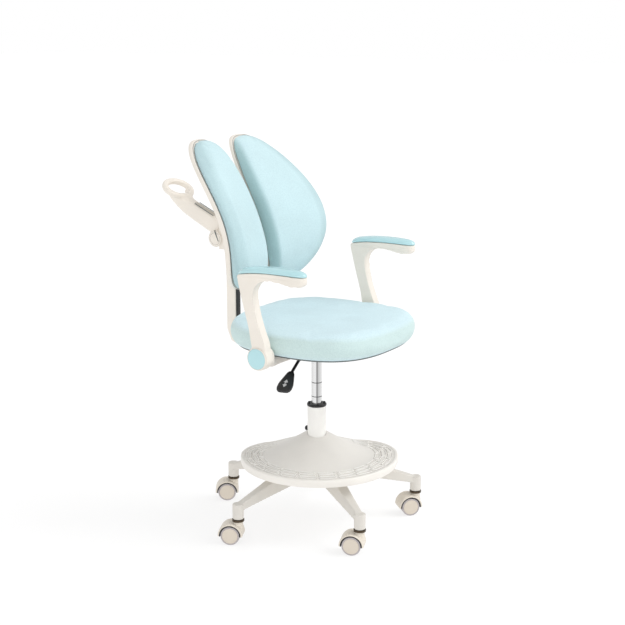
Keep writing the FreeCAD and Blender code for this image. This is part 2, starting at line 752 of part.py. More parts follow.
def carrier():
    """Block that slides on the upright, with a clevis for each pad's hinge and a barrel for the handle."""
    half = "carrier_width / 2"
    core = block(f"-{half}", half, "carrier_front", "carrier_back", "carrier_low", "carrier_high")
    barrel = cross_cylinder("hub_barrel_radius", "-hub_barrel_width / 2", "hub_barrel_width / 2",
                            "hub_barrel_y", "hub_barrel_z")
    lugs, bores = [], []
    for side in (-1, 1):
        low_x, high_x = (f"{side} * hinge_x - 10", f"{side} * hinge_x + 10")
        if side < 0:
            high_x = f"-{half} + 4"
        else:
            low_x = f"{half} - 4"
        for low in ("hinge_barrel_low - hinge_lug - 0.5", "hinge_barrel_high + 0.5"):
            lugs.append(block(low_x, high_x, "hinge_y - 10", "carrier_front + 20", low, f"{low} + hinge_lug"))
        bores.append(cylinder("hinge_pin_radius", "carrier_low - 20", "carrier_high + 20",
                              f"{side} * hinge_x", "hinge_y"))
    track = block("-upright_width / 2 - carrier_gap", "upright_width / 2 + carrier_gap",
                  "upright_front - trim_thickness - carrier_gap", "upright_back + carrier_gap",
                  "carrier_low - 30", "carrier_high + 30")
    keep(cut(fuse(core, barrel, *lugs), track, *bores), "back_carrier")
    pins = [cylinder("hinge_pin_radius", "hinge_barrel_low - hinge_lug", "hinge_barrel_high + hinge_lug",
                     f"{side} * hinge_x", "hinge_y") for side in (-1, 1)]
    keep(fuse(*pins), "back_hinge_pins")


def rear_handle():
    """Arm that climbs rearwards from the carrier's barrel to a flat loop, all one moulding."""
    shank = doc.addObject("Part::Box", "shank")
    bind(shank, Length="handle_width", Width="handle_length", Height="handle_thickness")
    rise, lean = "handle_thickness / 2 * cos(handle_slope)", "handle_thickness / 2 * sin(handle_slope)"
    place(shank, "-handle_width / 2",
          f"hub_barrel_y + handle_start * cos(handle_slope) + {lean}",
          f"hub_barrel_z + handle_lift + handle_start * sin(handle_slope) - {rise}",
          "handle_slope", (1, 0, 0))
    disc, hole = [loop_disc(radius, half) for radius, half in
                  (("loop_radius", "loop_thickness / 2"), ("loop_hole", "2 * handle_thickness"))]
    barrel = cross_cylinder("hub_barrel_radius", "-hub_barrel_width", "hub_barrel_width", "hub_barrel_y",
                            "hub_barrel_z")
    behind = block(-100, 100, 200, "carrier_back", 600, 900)
    keep(cut(fuse(shank, disc), hole, barrel, behind), "rear_handle")


def loop_disc(radius, half):
    """A disc of the tilted loop, reaching half its height to either side of the loop's plane."""
    disc = doc.addObject("Part::Cylinder", "loop_disc")
    bind(disc, Radius=radius, Height=f"2 * ({half})")
    return place(disc, 0, f"loop_y + ({half}) * sin(loop_tilt)", f"loop_z - ({half}) * cos(loop_tilt)",
                 "loop_tilt", (1, 0, 0))


def spine_point(t):
    """Point of the back's side-view curve as (y, z)."""
    weights = ((1 - t) ** 3, 3 * t * (1 - t) ** 2, 3 * t * t * (1 - t), t ** 3)
    words = ("one", "two", "three", "four")
    return tuple(sum(weight * size(f"spine_{axis}_{word}") for weight, word in zip(weights, words))
                 for axis in "yz")


def spine_depth(z):
    """How far back the seam is at height z, found on the spine by halving."""
    low, high = 0.0, 1.0
    for _ in range(30):
        middle = (low + high) / 2
        if spine_point(middle)[1] < z:
            low = middle
        else:
            high = middle
    return spine_point(low)[0]


def back_loft(side, grow, front, back, shaped=False):
    """Solid between two depths from the seam, inside the back's outline grown by a margin.

    A shaped one has a pad's face: a thin outer edge, a thick inner edge and a lower crown at its ends.
    """
    bottom, top, widest = size("back_bottom"), size("back_top"), size("back_widest_z")
    power = size("back_outline_power")
    wires = []
    for index in range(SECTION_COUNT):
        lift = math.sin(math.radians(STEEP * (2 * index / (SECTION_COUNT - 1) - 1)))
        z = widest + lift * ((top - widest) if lift > 0 else (widest - bottom))
        outer = size("back_inner_x") + size("back_width") * (1 - abs(lift) ** power) ** (1 / power) + grow
        inner = size("back_inner_x") + 60 * (1 - (1 - abs(lift) ** 10) ** 0.1) - grow
        share = (z - bottom) / (top - bottom)
        wrap = size("back_wrap_edge") + size("back_wrap_middle") * math.sin(math.pi * share)
        seam = spine_depth(z)
        if shaped:
            crown = front * (1 - size("back_pad_crown") * abs(lift) ** 6)
            outline = ((inner, back), (outer, back), (outer, -size("back_outer_wall")),
                       (outer - size("back_pad_edge"), crown), (inner + size("back_inner_edge"), crown),
                       (inner, -size("back_inner_wall") * crown / front))
        else:
            outline = ((inner, back), (outer, back), (outer, front), (inner, front))
        points = [FreeCAD.Vector(side * x, seam - wrap * x + depth, z) for x, depth in outline]
        wires.append(Part.makePolygon(points + points[:1]))
    return Part.makeLoft(wires, True, True)


def back_half(word, side):
    """One pad and the moulded shell behind it, with the barrel of its hinge."""
    pad = back_loft(side, 0, -size("back_pad_thickness"), -0.05, shaped=True)
    pad_item = doc.addObject("Part::Feature", f"back_pad_{word}")
    pad_item.Shape = pad
    keep(pad_item, f"back_pad_{word}")

    shell = back_loft(side, 2, 0, size("back_shell_thickness"))
    x, y = side * size("hinge_x"), size("hinge_y")
    low, high = size("hinge_barrel_low"), size("hinge_barrel_high")
    web = Part.makeBox(12, y - 140, high - low, FreeCAD.Vector(x - 6, 140, low))
    web = web.cut(back_loft(side, 20, -90, 1))
    barrel = Part.makeCylinder(size("hinge_barrel_radius"), high - low, FreeCAD.Vector(x, y, low))
    bore = Part.makeCylinder(size("hinge_pin_radius") + size("hinge_fit"), high - low + 2,
                             FreeCAD.Vector(x, y, low - 1))
    shell_item = doc.addObject("Part::Feature", f"back_shell_{word}")
    shell_item.Shape = shell.fuse([web, barrel]).cut(bore).removeSplitter()
    keep(shell_item, f"back_shell_{word}")


star_base()
gas_lift()
for number, heading in enumerate(CASTER_HEADINGS):
    caster(number, heading)
footrest()
seat()
lever()
for name, sign in SIDES:
    arm(name, sign)
upright()
carrier()
rear_handle()
for name, sign in SIDES:
    back_half(name, sign)
doc.recompute()

failed = [item.Label for item in doc.Objects if {"Invalid", "Error"} & set(item.State)]
shapes = [(item.Label, item.Shape) for item in nodes]
bad = [label for label, shape in shapes if shape.isNull() or not shape.isValid() or not shape.Solids]
if failed or bad:
    raise SystemExit(f"failed features: {failed}; bad shapes: {bad}")

os.makedirs("parts", exist_ok=True)
for item in nodes:
    item.Shape.exportStep(f"parts/{item.Label}.step")
    box = item.Shape.BoundBox
    print(f"{item.Label}: {len(item.Shape.Solids)} solid(s), {item.Shape.Volume / 1000:.1f} cm3, "
          f"z {box.ZMin:.1f} to {box.ZMax:.1f}")
print(len(nodes), "pieces")
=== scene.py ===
"""Visual model of the child's swivel desk chair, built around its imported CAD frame.

Metres, +Z up, floor at z = 0; the chair faces -Y and the sitter's right hand is at -X.
"""
import json
import math

import bpy
from mathutils import Matrix, Vector


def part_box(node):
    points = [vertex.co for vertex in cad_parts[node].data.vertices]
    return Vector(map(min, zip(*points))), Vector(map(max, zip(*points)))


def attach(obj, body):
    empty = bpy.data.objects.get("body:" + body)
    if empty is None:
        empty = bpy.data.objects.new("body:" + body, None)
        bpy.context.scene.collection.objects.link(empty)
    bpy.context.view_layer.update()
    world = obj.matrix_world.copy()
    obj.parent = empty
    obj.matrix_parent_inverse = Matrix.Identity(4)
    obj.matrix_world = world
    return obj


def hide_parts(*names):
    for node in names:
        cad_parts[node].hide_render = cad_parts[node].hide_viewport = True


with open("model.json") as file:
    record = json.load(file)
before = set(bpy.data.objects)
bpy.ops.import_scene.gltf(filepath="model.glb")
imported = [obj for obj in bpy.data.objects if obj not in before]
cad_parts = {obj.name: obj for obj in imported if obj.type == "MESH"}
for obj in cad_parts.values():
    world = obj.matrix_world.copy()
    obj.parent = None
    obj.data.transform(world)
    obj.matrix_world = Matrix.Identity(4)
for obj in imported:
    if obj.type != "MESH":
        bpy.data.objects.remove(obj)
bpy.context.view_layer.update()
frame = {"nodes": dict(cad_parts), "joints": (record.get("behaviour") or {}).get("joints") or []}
NODES = frame["nodes"]
JOINTS = {joint["name"]: joint for joint in frame["joints"]}
SIDES = (("right", -1), ("left", 1))
X, Y, Z = Vector((1, 0, 0)), Vector((0, 1, 0)), Vector((0, 0, 1))
MM = 0.001
FULL_TURN = 2 * math.pi
MERGE_GAP = 0.00001


# ---- camera, light and floor

VIEW_TARGET = Vector((0, 0, 0.576))
VIEW_DISTANCE = 3.443
VIEW_AZIMUTH = math.radians(-56.65)
VIEW_ELEVATION = math.radians(13.09)


def heading_vector(heading):
    """Level unit vector for a heading in radians: 0 looks along -Y, where the chair faces."""
    return Vector((math.sin(heading), -math.cos(heading), 0))


def mm(*rows):
    """Rows of lengths in millimetres, turned into metres."""
    return [[length * MM for length in row] for row in rows]


def configure(thing, **settings):
    """Set several attributes of a data block or modifier."""
    for name, value in settings.items():
        setattr(thing, name, value)
    return thing


def placed(name, data):
    """An object in the scene for a mesh, lamp or camera."""
    made = bpy.data.objects.new(name, data)
    bpy.context.scene.collection.objects.link(made)
    return made


def aimed(name, data, azimuth, elevation, distance):
    """A camera or lamp that looks at the chair's middle; angles in radians, azimuth 0 in front."""
    made = placed(name, data)
    back = heading_vector(azimuth) * math.cos(elevation) + Z * math.sin(elevation)
    made.location = VIEW_TARGET + back * distance
    made.rotation_euler = (-back).to_track_quat("-Z", "Y").to_euler()
    return made


def make_camera():
    lens = configure(bpy.data.cameras.new("camera"), lens=74.65, sensor_width=36, shift_x=-0.0068)
    camera = aimed("camera", lens, VIEW_AZIMUTH, VIEW_ELEVATION, VIEW_DISTANCE)
    bpy.context.scene.camera = camera


def sunlight(name, azimuth, elevation, strength, softness):
    """Far soft light; angles in degrees, azimuth 0 straight in front of the chair."""
    lamp = configure(bpy.data.lights.new(name, "SUN"), energy=strength, angle=math.radians(softness))
    aimed(name, lamp, math.radians(azimuth), math.radians(elevation), 4)


def make_studio():
    scene = bpy.context.scene
    scene.view_settings.view_transform = "Standard"
    world = bpy.data.worlds.new("studio")
    world.use_nodes = True
    tree = world.node_tree
    sky = set_sockets(tree.nodes["Background"], Strength=1)
    split = add_node(tree, "SeparateXYZ")
    tree.links.new(add_node(tree, "TexCoord").outputs["Generated"], split.inputs["Vector"])
    haze = colour_ramp(tree, split.outputs["Z"], ((0.22, (1, 1, 1)), (0.4, (0.74, 0.74, 0.74))))
    tree.links.new(haze, sky.inputs["Color"])
    scene.world = world
    sunlight("front light", 34, 46, 1.35, 35)
    sunlight("side light", -140, 50, 0.08, 20)
    sunlight("fill light", -66, 9, 0.55, 30)


def make_floor():
    half = 30
    corners = [(-half, -half, 0), (half, -half, 0), (half, half, 0), (-half, half, 0)]
    floor = mesh_object("floor", corners, [(0, 1, 2, 3)])
    paint, tree, shader = new_paint("floor", Roughness=0.85, Specular_IOR_Level=0.1,
        Emission_Color=(1, 1, 1, 1), Emission_Strength=0.7)
    clouds = add_node(tree, "TexNoise", Scale=1.5).outputs["Fac"]
    tone = two_tones(tree, clouds, (0.31, 0.31, 0.31), (0.33, 0.33, 0.33))
    tree.links.new(tone, shader.inputs["Base Color"])
    floor.data.materials.append(paint)


# ---- materials


def set_sockets(node, **numbers):
    """Set a node's inputs; an underscore in a keyword stands for the space in a socket's name."""
    for socket, number in numbers.items():
        node.inputs[socket.replace("_", " ")].default_value = number
    return node


def add_node(tree, kind, **numbers):
    return set_sockets(tree.nodes.new(f"ShaderNode{kind}"), **numbers)


def new_paint(name, **numbers):
    """A material, its node tree and its shader with the numbers set."""
    paint = bpy.data.materials.new(name)
    paint.use_nodes = True
    tree = paint.node_tree
    return paint, tree, set_sockets(tree.nodes["Principled BSDF"], **numbers)


def noise(tree, place, scale, detail):
    """A cloudy value fixed to the object."""
    clouds = add_node(tree, "TexNoise", Scale=scale, Detail=detail)
    tree.links.new(place.outputs["Object"], clouds.inputs["Vector"])
    return clouds.outputs["Fac"]


def calculated(tree, operation, *entries):
    """The outcome of a sum on other nodes' values or plain numbers."""
    node = configure(add_node(tree, "Math"), operation=operation)
    for entry, socket in zip(entries, node.inputs):
        if isinstance(entry, float):
            socket.default_value = entry
        else:
            tree.links.new(entry, socket)
    return node.outputs["Value"]


def colour_ramp(tree, value, stops):
    """Colour by value, from (position, colour) stops in rising order."""
    ramp = add_node(tree, "ValToRGB")
    elements = ramp.color_ramp.elements
    elements[0].position, elements[1].position = stops[0][0], stops[-1][0]
    for position, _ in stops[1:-1]:
        elements.new(position)
    for element, (_, colour) in zip(elements, stops):
        element.color = (*colour, 1)
    tree.links.new(value, ramp.inputs["Fac"])
    return ramp.outputs["Color"]


def two_tones(tree, value, dark, light, low=0.35, high=0.65):
    return colour_ramp(tree, value, ((low, dark), (high, light)))


def tinted(tree, colour, tint, factor):
    """A colour multiplied by another, by a factor from 0 to 1."""
    mix = configure(add_node(tree, "Mix"), data_type="RGBA", blend_type="MULTIPLY")
    set_sockets(mix, Factor=factor)
    tree.links.new(colour, mix.inputs["A"])
    tree.links.new(tint, mix.inputs["B"])
    return mix.outputs["Result"]


def roughen(tree, shader, height, strength, distance):
    """Raise the surface by a height value, as a bump of a distance in metres."""
    relief = add_node(tree, "Bump", Strength=strength, Distance=distance)
    tree.links.new(height, relief.inputs["Height"])
    tree.links.new(relief.outputs["Normal"], shader.inputs["Normal"])


def shade(colour, factor):
    return tuple(channel * factor for channel in colour)


def surface(name, colour, roughness, grain=0.9, bump=0.06, mottle=0.04, rough_swing=0.06, patch=14,
        **constants):
    """A moulded or metal finish: slight patches of tone, uneven gloss and a fine grain.

    grain is the grain's size and bump its height, in millimetres.
    """
    paint, tree, shader = new_paint(name, **constants)
    place = add_node(tree, "TexCoord")
    patches = noise(tree, place, patch, 4)
    tone = two_tones(tree, patches, shade(colour, 1 - mottle), colour)
    tree.links.new(tone, shader.inputs["Base Color"])
    gloss = add_node(tree, "MapRange", To_Min=roughness - rough_swing, To_Max=roughness + rough_swing)
    tree.links.new(patches, gloss.inputs["Value"])
    tree.links.new(gloss.outputs["Result"], shader.inputs["Roughness"])
    roughen(tree, shader, noise(tree, place, 1 / (grain * MM), 3), 0.5, bump * MM)
    return paint


def chrome_with_painted_reflections(name, turns):
    """Polished tube metal with painted reflections: its base colour changes round the Z axis in long bright
    and dark bands that stand in for reflections.

    turns is (share of a turn, tone) pairs in rising order.
    """
    paint = surface(name, (0.8, 0.8, 0.8), 0.16, 3, 0.02, mottle=0.02, rough_swing=0.03, Metallic=1.0)
    tree = paint.node_tree
    round_axis = configure(add_node(tree, "TexGradient"), gradient_type="RADIAL")
    tree.links.new(add_node(tree, "TexCoord").outputs["Object"], round_axis.inputs["Vector"])
    painted_reflections = colour_ramp(tree, round_axis.outputs["Fac"], [(share, (tone,) * 3) for share, tone in turns])
    tree.links.new(painted_reflections, tree.nodes["Principled BSDF"].inputs["Base Color"])
    return paint


# A wave texture with this scale over a pitch repeats once in that pitch.
WAVE_SCALE = 0.314


def woven(name, colour, across, thread, shade_by_facing):
    """A woven cover: threads along X and along a second axis pass over and under each other.

    across is the second axis, Y on the seat and Z on the back, and thread is the threads' pitch.
    The last argument paints shade into the cloth by how it faces, as (facing, tone) stops: upwards from 0 to
    1 on the seat, and on the back from -1, facing the middle of the chair, to 1, facing outwards.
    """
    paint, tree, shader = new_paint(name, Roughness=0.88, Specular_IOR_Level=0.25, Sheen_Weight=0.12,
        Sheen_Roughness=0.45)
    place = add_node(tree, "TexCoord")
    bands = []
    for direction in ("X", across):
        band = add_node(tree, "TexWave", Scale=WAVE_SCALE / thread, Distortion=0.6, Detail=1)
        band.bands_direction = direction
        tree.links.new(place.outputs["Object"], band.inputs["Vector"])
        bands.append(band.outputs["Fac"])
    fuzz = noise(tree, place, 300, 5)
    roughen(tree, shader, calculated(tree, "ADD", calculated(tree, "MULTIPLY", *bands), fuzz), 0.55, 0.0006)
    tone = two_tones(tree, noise(tree, place, 9, 8), shade(colour, 0.96), shade(colour, 1.02))
    slope = add_node(tree, "SeparateXYZ")
    tree.links.new(place.outputs["Normal"], slope.inputs["Vector"])
    if across == "Z":
        spot = add_node(tree, "SeparateXYZ")
        tree.links.new(place.outputs["Object"], spot.inputs["Vector"])
        side = calculated(tree, "SIGN", spot.outputs["X"])
        outward = calculated(tree, "MULTIPLY", side, slope.outputs["X"])
        facing = calculated(tree, "MULTIPLY_ADD", outward, 0.5, 0.5)
        shade_by_facing = [(turn / 2 + 0.5, tint) for turn, tint in shade_by_facing]
    else:
        facing = calculated(tree, "ABSOLUTE", slope.outputs["Z"])
    # painted shade: the cloth's tone is darkened by how the surface faces
    facing_shaded = tinted(tree, tone, colour_ramp(tree, facing, shade_by_facing), 1)
    specks = two_tones(tree, fuzz, (0.8, 0.84, 0.86), (1, 1, 1), 0.3, 0.62)
    tree.links.new(tinted(tree, facing_shaded, specks, 0.5), shader.inputs["Base Color"])
    return paint


BLUE = (0.66, 0.86, 0.9)
THREAD = 0.0016
PAINTS = {
    "white": surface("white plastic", (0.82, 0.79, 0.74), 0.42),
    # bright_white is the lift column's own enamel; on the footrest's ribs it is a painted highlight, lighter
    # than the plate they are moulded in
    "bright_white": surface("bright white enamel", (0.92, 0.905, 0.87), 0.3, 1.2, 0.03),
    "cream": surface("cream plastic", (0.8, 0.75, 0.68), 0.4),
    "beige": surface("beige plastic", (0.72, 0.66, 0.57), 0.42, 0.8, 0.06),
    "hub": surface("beige wheel hub", (0.66, 0.59, 0.5), 0.46, 0.8, 0.05),
    "tyre": surface("grey tyre", (0.47, 0.435, 0.44), 0.62, 0.6, 0.12, Specular_IOR_Level=0.3),
    "bronze": surface("dark bronze plating", (0.085, 0.062, 0.04), 0.3, 1, 0.04, Metallic=0.8),
    "steel": surface("plain steel", (0.62, 0.62, 0.62), 0.32, 1.2, 0.03, Metallic=1.0),
    # painted reflections: bright and dark tones round the gas cylinder's axis
    "tube_chrome": chrome_with_painted_reflections("chrome with painted reflections", ((0.0, 0.75), (0.06, 0.8), (0.1, 0.16), (0.14, 0.55),
        (0.3, 0.8), (0.36, 0.2), (0.42, 0.7), (0.52, 0.3), (0.545, 0.62), (0.575, 0.85), (0.595, 0.3),
        (0.615, 0.95), (0.655, 0.62), (0.675, 0.1), (0.7, 0.5), (0.75, 0.8), (0.86, 0.25), (0.92, 0.7),
        (1.0, 0.75))),
    "black": surface("black plastic", (0.012, 0.012, 0.013), 0.38, 0.7, 0.08, mottle=0.3),
    "black_metal": surface("black painted steel", (0.014, 0.014, 0.015), 0.3, 1.2, 0.04, mottle=0.3),
    # dark is the real colour of the seat's welt and the arm caps' grooves, and painted shade in the hub
    # caps' groove and slit and along the rear handle's channel
    "dark": surface("dark seam and painted shade", (0.16, 0.18, 0.18), 0.75, 0.8, 0.1, mottle=0.2),
    "seam": surface("grey seam", (0.34, 0.34, 0.32), 0.7, 0.8, 0.1, mottle=0.2),
    # painted shadow round the foot of each footrest rib
    "groove": surface("painted rib shadow", (0.6, 0.56, 0.5), 0.6, 0.8, 0.1),
    # painted shade: grey for the shaded channel along the rear handle's top
    "shade_grey": surface("painted channel shade", (0.52, 0.49, 0.43), 0.55),
    # the star base's white plastic, painted darker as shade on the legs
    "leg_white": surface("base plastic painted darker as shade", (0.67, 0.64, 0.59), 0.42),
    "mark": surface("pale printed mark", (0.55, 0.55, 0.55), 0.5, 1, 0.03),
    "blue_plastic": surface("blue gloss plastic", (0.44, 0.69, 0.73), 0.22, 1.2, 0.03, mottle=0.03,
        rough_swing=0.04, Coat_Weight=0.4, Coat_Roughness=0.12),
    # Painted shade in both cloths by how they face: the seat's sides, the back pads' outer bands and their
    # walls facing the middle. The back's blue is the seat's blue painted darker as shade.
    "seat_fabric": woven("seat fabric", BLUE, "Y", THREAD,
        ((0.45, (0.9, 0.86, 0.81)), (0.85, (1, 0.96, 0.97)))),
    "back_fabric": woven("back fabric", shade(BLUE, 0.87), "Z", THREAD,
        ((-0.8, (0.68, 0.76, 0.75)), (-0.45, (1, 1, 1)), (-0.02, (1, 1, 1)), (0.2, (0.83, 0.86, 0.86)),
        (0.9, (0.76, 0.79, 0.79)))),
}


# ---- mesh helpers


def mesh_object(name, vertices, faces):
    mesh = bpy.data.meshes.new(name)
    mesh.from_pydata([tuple(vertex) for vertex in vertices], [], faces)
    mesh.update()
    return placed(name, mesh)


def loft(name, rings, caps=True, flat_ends=False):
    """A closed skin through rings of equal length.

    Each end closes on a middle point, or with one flat face, which a hollow outline needs.
    """
    count = len(rings[0])
    vertices = [point for ring in rings for point in ring]
    faces = []
    for level in range(len(rings) - 1):
        base = level * count
        for index in range(count):
            following = (index + 1) % count
            faces.append((base + index, base + following, base + count + following, base + count + index))
    if flat_ends:
        faces.append(tuple(reversed(range(count))))
        faces.append(tuple(range(len(vertices) - count, len(vertices))))
    elif caps:
        for base, ring, flipped in ((0, rings[0], True), (len(vertices) - count, rings[-1], False)):
            middle = len(vertices)
            vertices.append(sum(ring, Vector()) / count)
            for index in range(count):
                pair = (base + index, base + (index + 1) % count)
                faces.append((*(reversed(pair) if flipped else pair), middle))
    return mesh_object(name, vertices, faces)


def circle(count):
    """Cosine and sine of each of count equal steps round a turn."""
    return [(math.cos(FULL_TURN * step / count), math.sin(FULL_TURN * step / count))
        for step in range(count)]


def squared(value, power):
    """A cosine or sine pushed out towards a corner; a power of 2 leaves it alone."""
    return math.copysign(abs(value) ** (2 / power), value)


def oval(centre, across, up, power=2.0, count=48):
    """Points of an ellipse; a power over 2 squares it off."""
    return [centre + across * squared(c, power) + up * squared(s, power) for c, s in circle(count)]


def lathe(name, profile, centre=(0, 0, 0), axis=Z, count=64):
    """A turned solid: profile is (radius, height) pairs from one end of its axis to the other."""
    turn = Z.rotation_difference(Vector(axis)).to_matrix()
    side, ahead, up = turn @ X, turn @ Y, turn @ Z
    start = Vector(centre)
    rings = [oval(start + up * height, side * radius, ahead * radius, count=count)
        for radius, height in profile]
    return loft(name, rings)


def spun(name, section, centre=(0, 0, 0), axis=Z, count=72):
    """A turned ring: section is (radius, height) pairs all the way round its cut face."""
    turn = Z.rotation_difference(Vector(axis)).to_matrix()
    vertices, faces, size = [], [], len(section)
    for index, (c, s) in enumerate(circle(count)):
        out = Vector((c, s, 0))
        vertices += [Vector(centre) + turn @ (out * radius + Z * height) for radius, height in section]
        here, there = index * size, (index + 1) % count * size
        for corner in range(size):
            following = (corner + 1) % size
            faces.append((here + corner, there + corner, there + following, here + following))
    return mesh_object(name, vertices, faces)


def ring_band(name, inner, outer, low, high, centre=(0, 0, 0), axis=Z, rounding=0.0004, count=64):
    """A ring of rectangular section with softened edges, about an axis."""
    section = ((inner, low), (outer - rounding, low), (outer, low + rounding), (outer, high - rounding),
        (outer - rounding, high), (inner, high))
    return spun(name, section, centre, axis, count)


def tube(name, path, radius, closed=False, sides=10, flatness=1.0, up=Z):
    """A round rod along a path of points; flatness under 1 lowers it along up."""
    rings = []
    for index, point in enumerate(path):
        before = path[index - 1] if closed or index else point
        after = path[(index + 1) % len(path)] if closed or index < len(path) - 1 else point
        along = (after - before).normalized()
        across = along.cross(up).normalized()
        rings.append(oval(point, across * radius, across.cross(along) * radius * flatness, count=sides))
    if not closed:
        return loft(name, rings)
    made = loft(name, rings + rings[:1], caps=False)
    weld(made)
    return made


def add_modifier(piece, kind, **settings):
    return configure(piece.modifiers.new(kind.lower(), kind), **settings)


def weld(piece):
    """Join points that lie together."""
    add_modifier(piece, "WELD", merge_threshold=MERGE_GAP)
    settle(piece)


def settle(piece):
    """Turn a piece's modifiers into plain mesh."""
    bpy.context.view_layer.update()
    evaluated = piece.evaluated_get(bpy.context.evaluated_depsgraph_get())
    mesh = bpy.data.meshes.new_from_object(evaluated)
    piece.modifiers.clear()
    piece.data = mesh
    return piece


def joined(name, parts):
    """One object that holds the meshes of several, which are then removed."""
    vertices, faces = [], []
    for part in parts:
        offset = len(vertices)
        vertices += [vertex.co.copy() for vertex in part.data.vertices]
        faces += [[offset + index for index in polygon.vertices] for polygon in part.data.polygons]
        bpy.data.objects.remove(part)
    return mesh_object(name, vertices, faces)


def moulded(name, parts, voxel, rounding, cuts=()):
    """One moulding of overlapping closed shapes less some others, with every corner rounded."""
    piece = joined(name, parts)
    add_modifier(piece, "REMESH", mode="VOXEL", voxel_size=voxel)
    settle(piece)
    for cut in cuts:
        add_modifier(piece, "BOOLEAN", operation="DIFFERENCE", solver="EXACT", object=cut)
        settle(piece)
        bpy.data.objects.remove(cut)
    if cuts:
        add_modifier(piece, "REMESH", mode="VOXEL", voxel_size=voxel)
    add_modifier(piece, "SMOOTH", factor=0.5, iterations=rounding)
    return settle(piece)


def smooth_outline(points, steps=4):
    """Points of a closed curve through corner points (Catmull-Rom)."""
    curve = []
    count = len(points)
    for index in range(count):
        p0, p1, p2, p3 = (Vector(points[(index + shift) % count]) for shift in (-1, 0, 1, 2))
        for step in range(steps):
            t = step / steps
            bend, twist = 2 * p0 - 5 * p1 + 4 * p2 - p3, 3 * p1 - p0 - 3 * p2 + p3
            curve.append(0.5 * (2 * p1 + (p2 - p0) * t + bend * t * t + twist * t ** 3))
    return curve


def slab(name, outline, low, high, inset=0.0):
    """An outline in (y, z) drawn out along X; inset pulls the two rims in."""
    middle = sum(outline, Vector((0, 0))) / len(outline)
    rings = []
    for x, pull in ((low, inset), (low + inset, 0), (high - inset, 0), (high, inset)):
        rings.append([Vector((x, *(point + (middle - point).normalized() * pull))) for point in outline])
    return loft(name, rings, flat_ends=True)


def mirrored(name, piece):
    """A copy of a piece on the other side of the chair."""
    vertices = [Vector((-vertex.co.x, vertex.co.y, vertex.co.z)) for vertex in piece.data.vertices]
    faces = [tuple(reversed(polygon.vertices)) for polygon in piece.data.polygons]
    return mesh_object(name, vertices, faces)


def moved_copy(name, piece, matrix):
    mesh = piece.data.copy()
    mesh.transform(matrix)
    return placed(name, mesh)


def painted(piece, paint):
    """Give a piece one paint and smooth shading."""
    piece.data.materials.clear()
    piece.data.materials.append(PAINTS[paint])
    for polygon in piece.data.polygons:
        polygon.use_smooth = True


def dress(piece, body, slot, paint, *nodes):
    """Paint a piece, shade it smooth and hang it on a body, in place of any CAD nodes named."""
    painted(piece, paint)
    piece.data.update()
    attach(piece, body)
    if nodes:
        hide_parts(*nodes)
    return piece


def dress_both(piece, body, slot, paint, node=None):
    """Dress a left-hand piece and its mirror image; node names a CAD node, less its side."""
    pair = (("left", piece), ("right", mirrored(piece.name.replace("left", "right"), piece)))
    for side, made in pair:
        dress(made, body.replace("left", side), slot, paint, *([f"{node}_{side}"] if node else []))
    return [made for _, made in pair]


def crisp(*pieces, angle=35):
    """Keep the edges sharper than an angle, in degrees, and smooth the rest."""
    for piece in pieces:
        piece.data.set_sharp_from_angle(angle=math.radians(angle))


def keep_node(node, paint, bevel=0.0):
    """Finish a CAD node that stays: its own paint, and rounded edges where a bevel is given."""
    piece = NODES[node]
    painted(piece, paint)
    corner = math.radians(30)
    if bevel:
        add_modifier(piece, "WELD", merge_threshold=MERGE_GAP)
        add_modifier(piece, "BEVEL", width=bevel, segments=3, limit_method="ANGLE", angle_limit=corner,
            harden_normals=False)
    piece.data.set_sharp_from_angle(angle=corner)


CLOTH_STEPS = 20


def inflate(piece, voxel, pressure, most, held_below, rounding):
    """Settle a cover over its foam as cloth under light pressure, no point moving further than a cap."""
    add_modifier(piece, "REMESH", mode="VOXEL", voxel_size=voxel)
    settle(piece)
    start = [vertex.co.copy() for vertex in piece.data.vertices]
    cloth = add_modifier(piece, "CLOTH")
    configure(cloth.settings, use_pressure=True, uniform_pressure_force=pressure, tension_stiffness=20,
        bending_stiffness=1.5)
    cloth.settings.effector_weights.gravity = 0
    cloth.collision_settings.use_collision = False
    cloth.point_cache.frame_end = CLOTH_STEPS
    held = piece.vertex_groups.new(name="held")
    held.add([index for index, point in enumerate(start) if held_below(point)], 1.0, "REPLACE")
    cloth.settings.vertex_group_mass = "held"
    for step in range(1, CLOTH_STEPS + 1):
        bpy.context.scene.frame_set(step)
    settle(piece)
    bpy.context.scene.frame_set(1)
    for vertex, origin in zip(piece.data.vertices, start):
        shift = vertex.co - origin
        if shift.length > most:
            vertex.co = origin + shift * (most / shift.length)
    add_modifier(piece, "SMOOTH", factor=0.5, iterations=rounding)
    add_modifier(piece, "SUBSURF", levels=1)
    return settle(piece)


# ---- seat

def seat_top(x, y):
    """Height of the seat's top over its rim level: a shallow hollow and a front that falls away."""
    hollow_depth, hollow_width, hollow_length, hollow_y = 0.004, 0.13, 0.12, 0.03
    hollow = hollow_depth * math.exp(-((x / hollow_width) ** 2) - (((y - hollow_y) / hollow_length) ** 2))
    front_start, front_drop, side_drop, half_width = 0.12, 0.009, 0.005, 0.22
    fall = max(0.0, -y - front_start) / front_start
    return 0.001 - hollow - front_drop * fall ** 2 - side_drop * (x / half_width) ** 4


